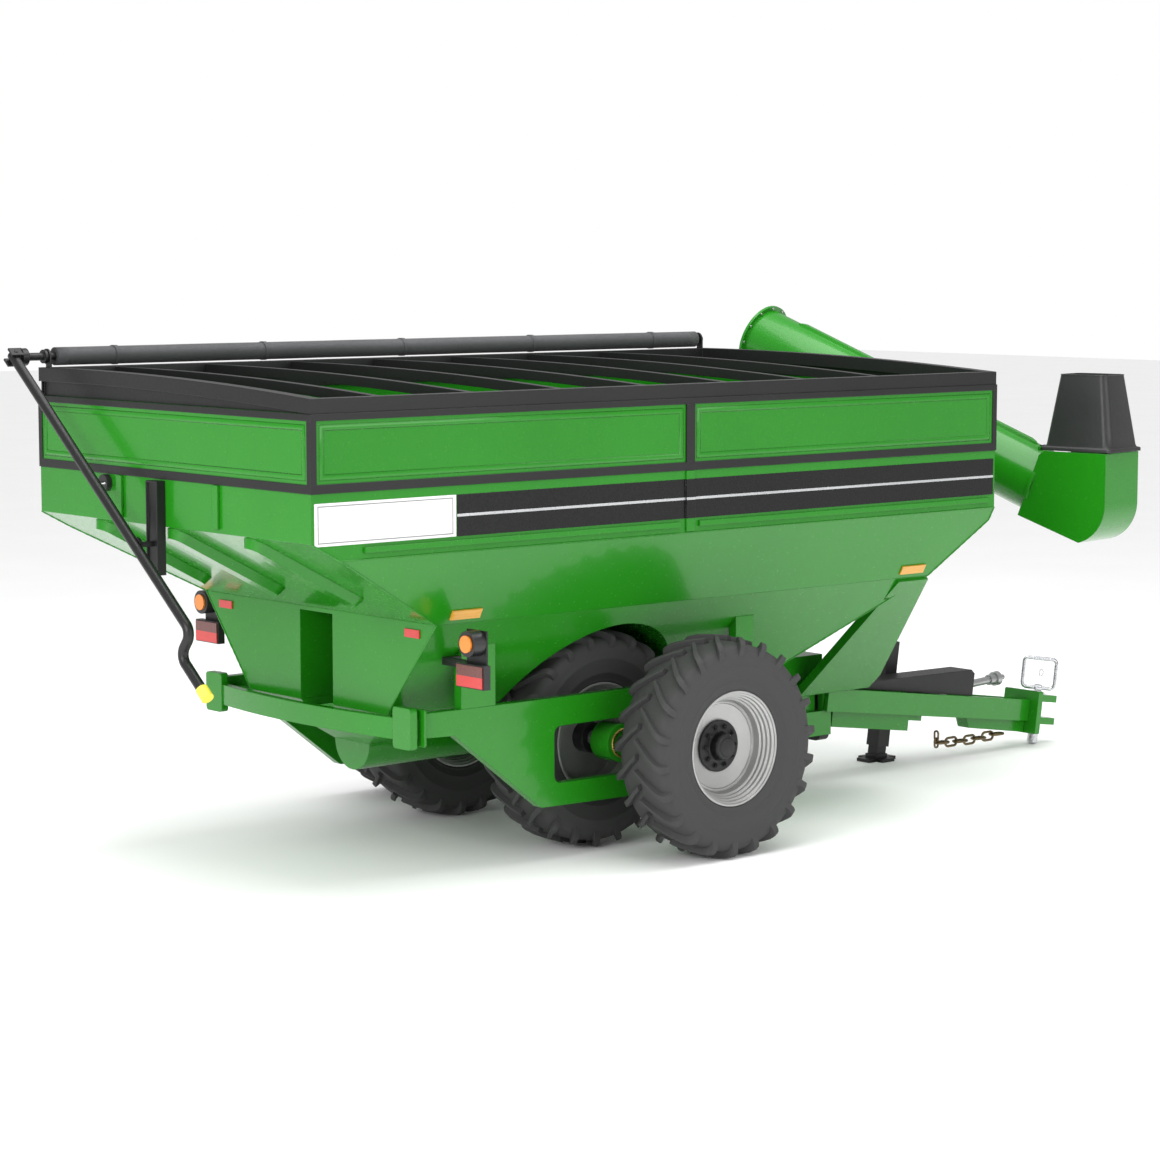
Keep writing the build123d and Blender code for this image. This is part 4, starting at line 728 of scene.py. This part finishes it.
    def hub(self) -> None:
        """Hub barrel with its disc, cap and a ring of bolts."""
        piece = MeshPiece("bolted_hub_" + self.key, "wheel_" + self.key, HUB_BLACK, "hub_black", 30.0)
        bore = self.spindle_bore
        profile = [(0.1195, 0.008), (0.196, 0.0150), (0.196, 0.030), (0.191, 0.034), (0.112, 0.038),
                   (0.104, 0.044), (0.099, 0.100), (0.090, 0.112), (0.070, 0.118), (0.066, 0.124),
                   (0.040, 0.128),
                   (0.0005, 0.129), (0.0005, 0.112), (bore, 0.110), (bore, -0.116), (0.112, -0.116),
                   (0.118, -0.110), (0.1195, -0.012)]
        piece.revolve(profile, self.centre, self.axis, self.start, 96)
        for i in range(self.bolt_count):
            angle = math.tau * (i + 0.5) / self.bolt_count
            middle = self.point(self.bolt_circle, 0.0, angle) - self.axis * 0.0
            washer = [(0.0005, 0.034), (0.0230, 0.034), (0.0230, 0.040), (0.0005, 0.040)]
            piece.revolve(washer, middle, self.axis, self.start, 20)
            nut = [(0.0005, 0.040), (0.0180, 0.040), (0.0180, 0.054), (0.0150, 0.058), (0.0005, 0.058)]
            piece.revolve(nut, middle, self.axis, self.start, 6)
            stud = [(0.0005, 0.058), (0.0095, 0.058), (0.0095, 0.068), (0.0080, 0.070), (0.0005, 0.070)]
            piece.revolve(stud, middle, self.axis, self.start, 14)
        piece.finish_mesh(["hub_" + self.key])

    def build(self) -> None:
        """Build the three pieces."""
        self.tyre()
        self.rim()
        self.hub()


# ------------------------------------------------------------------ tank

@dataclass
class TankSkin:
    """Pressed panels, weld beads and side bands on the tank's skin."""

    bead_inset: float = 0.046
    bead_width: float = 0.044
    bead_proud: float = 0.006
    band: tuple[float, float] = (2.543, 2.834)
    line: tuple[float, float] = (2.680, 2.699)
    post: tuple[float, float] = (3.390, 3.472)
    post_cover: float = 0.0165
    band_start: float = 1.235
    band_end: float = 6.780
    panel: tuple[float, float] = (0.022, 1.228)
    band_proud: float = 0.0022
    weld_radius: float = 0.0065

    def pressed_beads(self) -> None:
        """Raised bead that frames each upper panel."""
        piece = MeshPiece("pressed_panel_beads", Body.CART, GREEN, "green_paint", 50.0)
        low, high = BELT_TOP + self.bead_inset, WALL_TOP - 0.046 - self.bead_inset
        for side in Side:
            y = side.value * TANK_HALF_WIDTH
            for x0, x1 in ((0.040, 3.390), (3.472, 6.760)):
                a, b = x0 + self.bead_inset, x1 - self.bead_inset
                loop = [at(a, y, low), at(b, y, low), at(b, y, high), at(a, y, high)]
                piece.frame_bar(loop, Vector((0, side.value * self.bead_proud, 0)), self.bead_width, 0.018)
        for x, outward in ((0.0, -1), (TANK_LENGTH, 1)):
            a = TANK_HALF_WIDTH - 0.040 - self.bead_inset
            loop = [at(x, -a, low), at(x, a, low), at(x, a, high), at(x, -a, high)]
            piece.frame_bar(loop, Vector((outward * self.bead_proud, 0, 0)), self.bead_width, 0.018)
        piece.finish_mesh()

    def weld_seams(self) -> None:
        """Weld beads along the slanting corners of the hopper and funnel."""
        piece = MeshPiece("tank_weld_seams", Body.CART, GREEN, "green_paint", 60.0)
        rng = random.Random(7)
        for side in Side:
            s = side.value
            runs = [
                [(0.0, 1.740, 2.560), (0.236, 1.740, 2.436), (1.278, 1.450, 1.888)],
                [(6.800, 1.740, 2.436), (6.800, 1.684, 2.330), (6.337, 1.450, 1.888),
                 (5.231, 0.860, 1.180)],
                [(0.236, 1.740, 2.436), (6.800, 1.740, 2.436)],
                [(1.278, 1.450, 1.888), (1.278, 0.860, 1.180)],
            ]
            for run in runs:
                points = [at(x, s * y, z) for x, y, z in run]
                for a, b in zip(points, points[1:]):
                    self.bead(piece, a, b, rng)
        piece.finish_mesh()

    def bead(self, piece: MeshPiece, a: Vector, b: Vector, rng: random.Random) -> None:
        """Run of weld ripples from a to b.

        Args:
            piece: Piece that takes the bead.
            a: Start of the run.
            b: End of the run.
            rng: Source of the small differences between ripples.
        """
        along = (b - a).normalized()
        side = along.orthogonal().normalized()
        up = along.cross(side)
        spokes = [side * math.cos(k * math.tau / 8) + up * math.sin(k * math.tau / 8) for k in range(8)]
        count = max(4, int((b - a).length / 0.03))
        sections = []
        for i in range(count + 1):
            radius = self.weld_radius * (0.85 + 0.3 * (i % 2) + rng.uniform(-0.12, 0.12))
            middle = a + (b - a) * (i / count)
            sections.append([middle + spoke * radius for spoke in spokes])
        piece.strip(sections)

    def plate(self, piece: MeshPiece, side: Side, x0: float, x1: float, z0: float, z1: float,
              lift: float) -> None:
        """Thin plate with round corners on a side wall.

        Args:
            piece: Piece that takes the plate.
            side: Side of the tank.
            x0: Rear end.
            x1: Front end.
            z0: Bottom.
            z1: Top.
            lift: How far its face stands off the wall.
        """
        y = side.value * TANK_HALF_WIDTH
        middle = ((x0 + x1) / 2, (z0 + z1) / 2)
        outline = rounded_rectangle(lambda u, v: at(middle[0] + u, y, middle[1] + v), x1 - x0, z1 - z0,
                                    min(0.006, (z1 - z0) / 2.2), 3)
        piece.prism(outline, Vector((0, side.value * lift, 0)))

    def band_spans(self) -> tuple[tuple[float, float, float], ...]:
        """Rear end, front end and lift of each stretch of the band: it steps over the middle post."""
        a, b = self.post
        return ((self.band_start, a - 0.002, self.band_proud), (a - 0.004, b + 0.004, self.post_cover),
                (b + 0.002, self.band_end, self.band_proud))

    def side_bands(self) -> None:
        """Black band, silver line, white panel and its grey line on each side wall."""
        for side in Side:
            word = side.name.lower()
            band = MeshPiece("black_band_" + word, Body.CART, BAND_BLACK, "black_paint")
            for x0, x1, lift in self.band_spans():
                self.plate(band, side, x0, x1, *self.band, lift)
            band.finish_mesh()
            line = MeshPiece("silver_line_" + word, Body.CART, LINE_SILVER, "rim_silver")
            for x0, x1, lift in self.band_spans():
                self.plate(line, side, x0, x1, *self.line, lift + 0.0012)
            line.finish_mesh()
            panel = MeshPiece("white_panel_" + word, Body.CART, PANEL_WHITE, "rim_silver")
            self.plate(panel, side, *self.panel, *self.band, self.band_proud)
            panel.finish_mesh()
            grey = MeshPiece("grey_line_" + word, Body.CART, LINE_GREY, "black_paint")
            a, b = self.panel[0] + 0.03, self.panel[1] - 0.03
            low, high = self.band[0] + 0.022, self.band[1] - 0.022
            y = side.value * (TANK_HALF_WIDTH + self.band_proud)
            loop = [at(a, y, low), at(b, y, low), at(b, y, high), at(a, y, high)]
            grey.frame_bar(loop, Vector((0, side.value * 0.0012, 0)), 0.008, 0.001)
            grey.finish_mesh()

    def rear_fitting(self) -> None:
        """Polished grab arc on its small black block, beside the rear channel."""
        arc = MeshPiece("rear_grab_arc", Body.CART, CHROME, "machined_steel")
        points = []
        for i in range(13):
            angle = math.pi * i / 12
            points.append(at(-0.044 - 0.020 * math.sin(angle), 0.800 + 0.040 * math.cos(angle), 2.830))
        arc.tube(points, 0.007, 10)
        arc.finish_mesh()

    def build(self) -> None:
        """Build every piece of the skin."""
        self.pressed_beads()
        self.weld_seams()
        self.side_bands()
        self.rear_fitting()


# ------------------------------------------------------------------ tarp

@dataclass
class RolledTarp:
    """Tarp of coated cloth, wound on its shaft along the left rim."""

    inner_radius: float = 0.0305
    outer_radius: float = 0.0728
    cloth_width: float = 6.556
    cloth_length: float = 3.60
    cloth_thickness: float = 0.0012
    steps_per_turn: int = 44
    sections: int = 56

    def build(self) -> None:
        """Wind the cloth into a spiral and lay its free edge on the outside."""
        piece = MeshPiece("rolled_tarp", Body.ROLL, CLOTH, "tarp_cloth", 50.0)
        low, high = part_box("tarp_roll")
        centre = (low + high) / 2
        turns = self.cloth_length / (math.pi * (self.inner_radius + self.outer_radius))
        count = int(turns * self.steps_per_turn)
        rng = random.Random(11)
        phases = [rng.uniform(0, math.tau) for _ in range(4)]
        rows = []
        for s in range(self.sections + 1):
            along = s / self.sections
            x = centre.x + (along - 0.5) * self.cloth_width
            row = []
            for i in range(count + 1):
                share = i / count
                angle = math.tau * turns * share
                radius = self.inner_radius + (self.outer_radius - 0.0012 - self.inner_radius) * share
                ripple = math.sin(31 * along + phases[0] + angle)
                ripple += 0.7 * math.sin(53 * along + phases[1] - 2 * angle)
                radius -= 0.0007 * share * (1 + 0.5 * ripple)
                row.append(piece.bm.verts.new((x, centre.y + radius * math.cos(angle),
                                               centre.z + radius * math.sin(angle))))
            rows.append(row)
        for a, b in zip(rows, rows[1:]):
            for i in range(count):
                piece.bm.faces.new((a[i], b[i], b[i + 1], a[i + 1]))
        cloth = piece.finish_mesh(["tarp_roll"])
        solid = cloth.modifiers.new("cloth thickness", "SOLIDIFY")
        solid.thickness = self.cloth_thickness
        solid.offset = -1.0
        self.straps(centre)

    def straps(self, centre: Vector) -> None:
        """Webbing ties round the roll.

        Args:
            centre: Middle of the roll.
        """
        ties = MeshPiece("tarp_ties", Body.ROLL, CLOTH, "tarp_cloth", 60.0)
        for share in (-0.42, -0.21, 0.0, 0.21, 0.42):
            x = centre.x + share * self.cloth_width
            profile = [(self.outer_radius - 0.0004, -0.02), (self.outer_radius + 0.0014, -0.019),
                       (self.outer_radius + 0.0014, 0.019), (self.outer_radius - 0.0004, 0.02)]
            ties.revolve(profile, Vector((x, centre.y, centre.z)), Vector((1, 0, 0)), Vector((0, 0, 1)), 48)
        ties.finish_mesh()


# ------------------------------------------------------------------ unloading auger

@dataclass
class AugerSpout:
    """Moulded boot at the head's mouth, with its flared foot and the lugs it hangs on."""

    seam: Vector = field(default_factory=lambda: at(8.160, -1.108, 2.525))
    out: Vector = field(default_factory=lambda: Vector((0.150874, -0.988553, 0.0)))
    reach: float = 0.450
    base: float = 0.302
    height: float = 0.645
    foot: tuple[float, float] = (0.680, 0.520)
    low: tuple[float, float] = (0.640, 0.480)
    top: tuple[float, float] = (0.455, 0.345)
    wall: float = 0.011
    corner: float = 0.075
    hinge_offset: float = 0.366

    def ring(self, width: float, depth: float, height: float, corner: float) -> list[Vector]:
        """Level outline with round corners at a height over the base."""
        across = Vector((0, 0, 1)).cross(self.out)
        middle = self.seam + self.out * self.reach + Vector((0, 0, self.base + height))
        return rounded_rectangle(lambda u, v: middle + self.out * u + across * v, width, depth, corner, 8)

    def build(self) -> None:
        """Build the boot."""
        piece = MeshPiece("spout_boot_moulding", Body.SPOUT, BOOT_BLACK, "black_plastic", 42.0)
        levels = [
            (self.foot, 0.001, 0.030), (self.foot, 0.026, 0.032), ((0.672, 0.512), 0.032, 0.040),
            ((0.646, 0.486), 0.038, 0.060), (self.low, 0.052, 0.072),
        ]
        for i in range(1, 9):
            share = i / 8
            size = tuple(a + (b - a) * share for a, b in zip(self.low, self.top))
            levels.append((size, 0.052 + (self.height - 0.060) * share, 0.072 - 0.012 * share))
        levels.append(((self.top[0] + 0.010, self.top[1] + 0.010), self.height - 0.004, 0.064))
        levels.append((self.top, self.height, 0.060))
        outer = [self.ring(size[0], size[1], height, corner) for size, height, corner in levels]
        inner = [self.ring(size[0] - 2 * self.wall, size[1] - 2 * self.wall, height, corner - self.wall / 2)
                 for size, height, corner in reversed(levels[4:])]
        inner.append(self.ring(self.low[0] - 0.022, self.low[1] - 0.022, 0.001, 0.060))
        piece.strip(outer + inner, closed=True)
        self.lugs(piece)
        piece.finish_mesh(["spout_boot"])

    def lugs(self, piece: MeshPiece) -> None:
        """Hinge lugs on the inner edge.

        Args:
            piece: Boot that they belong to.
        """
        across = Vector((0, 0, 1)).cross(self.out)
        hinge = self.seam + self.out * (self.reach - self.hinge_offset) + Vector((0, 0, self.base + 0.017))
        profile = [(0.0131, -0.034), (0.022, -0.034), (0.024, -0.032), (0.024, 0.032), (0.022, 0.034),
                   (0.0131, 0.034)]
        for shift in (-0.170, 0.170):
            middle = hinge + across * shift
            piece.revolve(profile, middle, across, Vector((0, 0, 1)), 32)
            start = middle + self.out * 0.016 - across * 0.033 - Vector((0, 0, 0.010))
            corners = [start, start + across * 0.066, start + across * 0.066 + self.out * 0.012,
                       start + self.out * 0.012]
            piece.prism(corners, Vector((0, 0, 0.020)), 0.002)


@dataclass
class AugerTrim:
    """Flange bolts and the pressed rib of the upper auger tube."""

    bolt_count: int = 12
    flange_bolt_circle: float = 0.302
    rib_radius: float = 0.274
    start: Vector = field(default_factory=lambda: at(7.700, 1.906, 3.706))
    down: Vector = field(default_factory=lambda: Vector((0.1406882, -0.9218135, -0.3612017)))

    def flange_bolts(self) -> None:
        """Hexagon bolts round the upper tube's flange."""
        piece = MeshPiece("upper_flange_bolts", Body.UPPER_AUGER, STEEL, "machined_steel", 30.0)
        side = self.down.orthogonal().normalized()
        for i in range(self.bolt_count):
            angle = math.tau * (i + 0.5) / self.bolt_count
            out = side * math.cos(angle) + self.down.cross(side) * math.sin(angle)
            middle = self.start + out * self.flange_bolt_circle + self.down * 0.0245
            head = [(0.0005, 0.0), (0.011, 0.0), (0.011, 0.009), (0.009, 0.011), (0.0005, 0.011)]
            piece.revolve(head, middle, self.down, side, 6)
        piece.finish_mesh()

    def tube_rib(self) -> None:
        """Pressed stiffening rib along the top of the upper tube."""
        piece = MeshPiece("upper_tube_rib", Body.UPPER_AUGER, GREEN, "green_paint", 40.0)
        radial = (Vector((0, 0, 1)) - self.down * self.down.z).normalized()
        side = self.down.cross(radial)
        sections = []
        for along, width, height in ((0.34, 0.010, 0.002), (0.37, 0.055, 0.016), (0.42, 0.070, 0.026),
                                     (3.00, 0.070, 0.026), (3.05, 0.055, 0.016), (3.08, 0.010, 0.002)):
            middle = self.start + self.down * along + radial * self.rib_radius
            low, crest = side * (width / 2), side * (width / 3.2)
            sections.append([middle - low, middle - crest + radial * (0.006 + height),
                             middle + crest + radial * (0.006 + height), middle + low])
        piece.strip(sections)
        piece.finish_mesh()

    def build(self) -> None:
        """Build the trim of the tubes."""
        self.flange_bolts()
        self.tube_rib()


# ------------------------------------------------------------------ tongue and small parts

@dataclass
class TongueTrim:
    """Small parts: the drawbar pin's tether ring and the brass rings of the inner wheels' bosses."""

    boss_face: float = 1.2942

    def pin_tether(self) -> None:
        """Short chain ring hung from the drawbar pin's handle."""
        low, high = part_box("pin_handle")
        piece = MeshPiece("pin_tether_ring", Body.PIN, ZINC, "zinc_pin")
        centre = Vector((high.x - 0.008, high.y - 0.012, (low.z + high.z) / 2 - 0.02))
        points = []
        for i in range(24):
            angle = math.tau * i / 24
            across, up = math.sin(angle), math.cos(angle)
            points.append(centre + Vector((0.006 * up, 0.024 * across, 0.030 * up)))
        piece.tube(points, 0.0035, 8, closed=True)
        piece.finish_mesh()

    def thrust_rings(self) -> None:
        """Brass ring on the outer face of each inner wheel's boss."""
        piece = MeshPiece("spindle_thrust_rings", Body.CART, BRASS, "machined_steel")
        low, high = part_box("tyre_inner_right")
        middle = (low + high) / 2
        profile = [(0.094, 0.0), (0.112, 0.0), (0.112, 0.008), (0.108, 0.012), (0.094, 0.012)]
        for side in Side:
            face = Vector((middle.x, side.value * self.boss_face, middle.z))
            piece.revolve(profile, face, Vector((0, side.value, 0)), Vector((0, 0, 1)), 64)
        piece.finish_mesh()

    def build(self) -> None:
        """Build the small parts."""
        self.pin_tether()
        self.thrust_rings()


# ------------------------------------------------------------------ dressing and studio

class NodeDresser:
    """Gives every CAD node that stays its finish."""

    finishes: dict[str, Finish] = NODE_FINISHES

    def slots(self) -> dict[str, str]:
        """Material slot that the record gives each node."""
        return {part["node"]: part["material_slot"] for part in frame["record"]["subparts"]}

    def build(self) -> None:
        """Dress the nodes."""
        slots = self.slots()
        for name, piece in frame["nodes"].items():
            finish = self.finishes[slots[name]]
            if piece.material_slots:
                for slot in piece.material_slots:
                    slot.material = finish.material()
            else:
                piece.data.materials.append(finish.material())
            LOG.info("%s dressed in %s", name, finish.name)


@dataclass
class Studio:
    """Pale floor, soft lights and the camera."""

    camera_place: Vector = field(default_factory=lambda: Vector((-21.144, -18.184, 4.221)))
    camera_forward: Vector = field(default_factory=lambda: Vector((0.6478, 0.7539, -0.1093)))
    lens: float = 94.1
    floor_size: float = 160.0
    mirrored_strength: float = 0.45

    def floor(self) -> None:
        """Large pale floor with a faint mottle."""
        finish = Finish("pale_floor", (0.96, 0.96, 0.96), (0.94, 0.94, 0.94), (0.55, 0.7),
                        grain_height=0.0001)
        bm = bmesh.new()
        half = self.floor_size / 2
        corners = [bm.verts.new((x * half - 4.0, y * half, GROUND))
                   for x, y in ((-1, -1), (1, -1), (1, 1), (-1, 1))]
        bm.faces.new(corners)
        mesh = bpy.data.meshes.new("studio_floor")
        bm.to_mesh(mesh)
        bm.free()
        mesh.materials.append(finish.material())
        floor = bpy.data.objects.new("studio_floor", mesh)
        bpy.context.scene.collection.objects.link(floor)

    def lamp(self, name: str, place: Vector, target: Vector, size: tuple[float, float],
             watts: float) -> None:
        """Soft rectangular light.

        Args:
            name: Name of the light.
            place: Where it hangs.
            target: Point that it faces.
            size: Width and height.
            watts: Power.
        """
        light = bpy.data.lights.new(name, "AREA")
        light.shape = "RECTANGLE"
        light.size, light.size_y = size
        light.energy = watts
        lamp = bpy.data.objects.new(name, light)
        lamp.location = place
        lamp.rotation_euler = (target - place).to_track_quat("-Z", "Y").to_euler()
        bpy.context.scene.collection.objects.link(lamp)

    def lights(self) -> None:
        """White surroundings, one large light overhead and two at the sides."""
        middle = Vector((-5.0, 0.0, 1.4))
        self.lamp("overhead", Vector((-5.0, -1.0, 11.0)), middle, (14.0, 9.0), 1500.0)
        self.lamp("rear_side", Vector((-20.0, -4.0, 6.0)), middle, (8.0, 6.0), 1100.0)
        self.lamp("right_side", Vector((-3.0, -17.0, 6.0)), middle, (12.0, 5.0), 600.0)
        world = bpy.data.worlds.new("studio_world")
        bpy.context.scene.world = world
        world.use_nodes = True
        w = Wiring(world.node_tree)
        background = world.node_tree.nodes["Background"]
        background.inputs["Color"].default_value = (1.0, 1.0, 1.0, 1.0)
        mirrored = w.add("LightPath").outputs["Is Glossy Ray"]
        w.feed(background.inputs["Strength"], w.spread(mirrored, 0.0, 1.0, 1.0, self.mirrored_strength))
        bpy.context.scene.view_settings.view_transform = "Standard"

    def camera(self) -> None:
        """Camera at the three-quarter rear view."""
        data = bpy.data.cameras.new("studio_camera")
        data.lens = self.lens
        data.sensor_width = 36.0
        data.clip_end = 400.0
        camera = bpy.data.objects.new("studio_camera", data)
        forward = self.camera_forward.normalized()
        right = forward.cross(Vector((0, 0, 1))).normalized()
        up = right.cross(forward)
        turn = Matrix((right, up, -forward)).transposed().to_4x4()
        camera.matrix_world = Matrix.Translation(self.camera_place) @ turn
        bpy.context.scene.collection.objects.link(camera)
        bpy.context.scene.camera = camera

    def build(self) -> None:
        """Set the studio up."""
        self.camera()
        self.floor()
        self.lights()


def main() -> None:
    """Build the whole model in order."""
    logging.basicConfig(level=logging.INFO, format="%(name)s: %(message)s")
    Studio().build()
    NodeDresser().build()
    for key in ("outer_right", "inner_right", "inner_left", "outer_left"):
        outward = 1 if key in ("outer_left", "inner_right") else -1
        Wheel(key, outward).build()
    TankSkin().build()
    RolledTarp().build()
    AugerSpout().build()
    AugerTrim().build()
    TongueTrim().build()


if __name__ == "__main__":
    main()
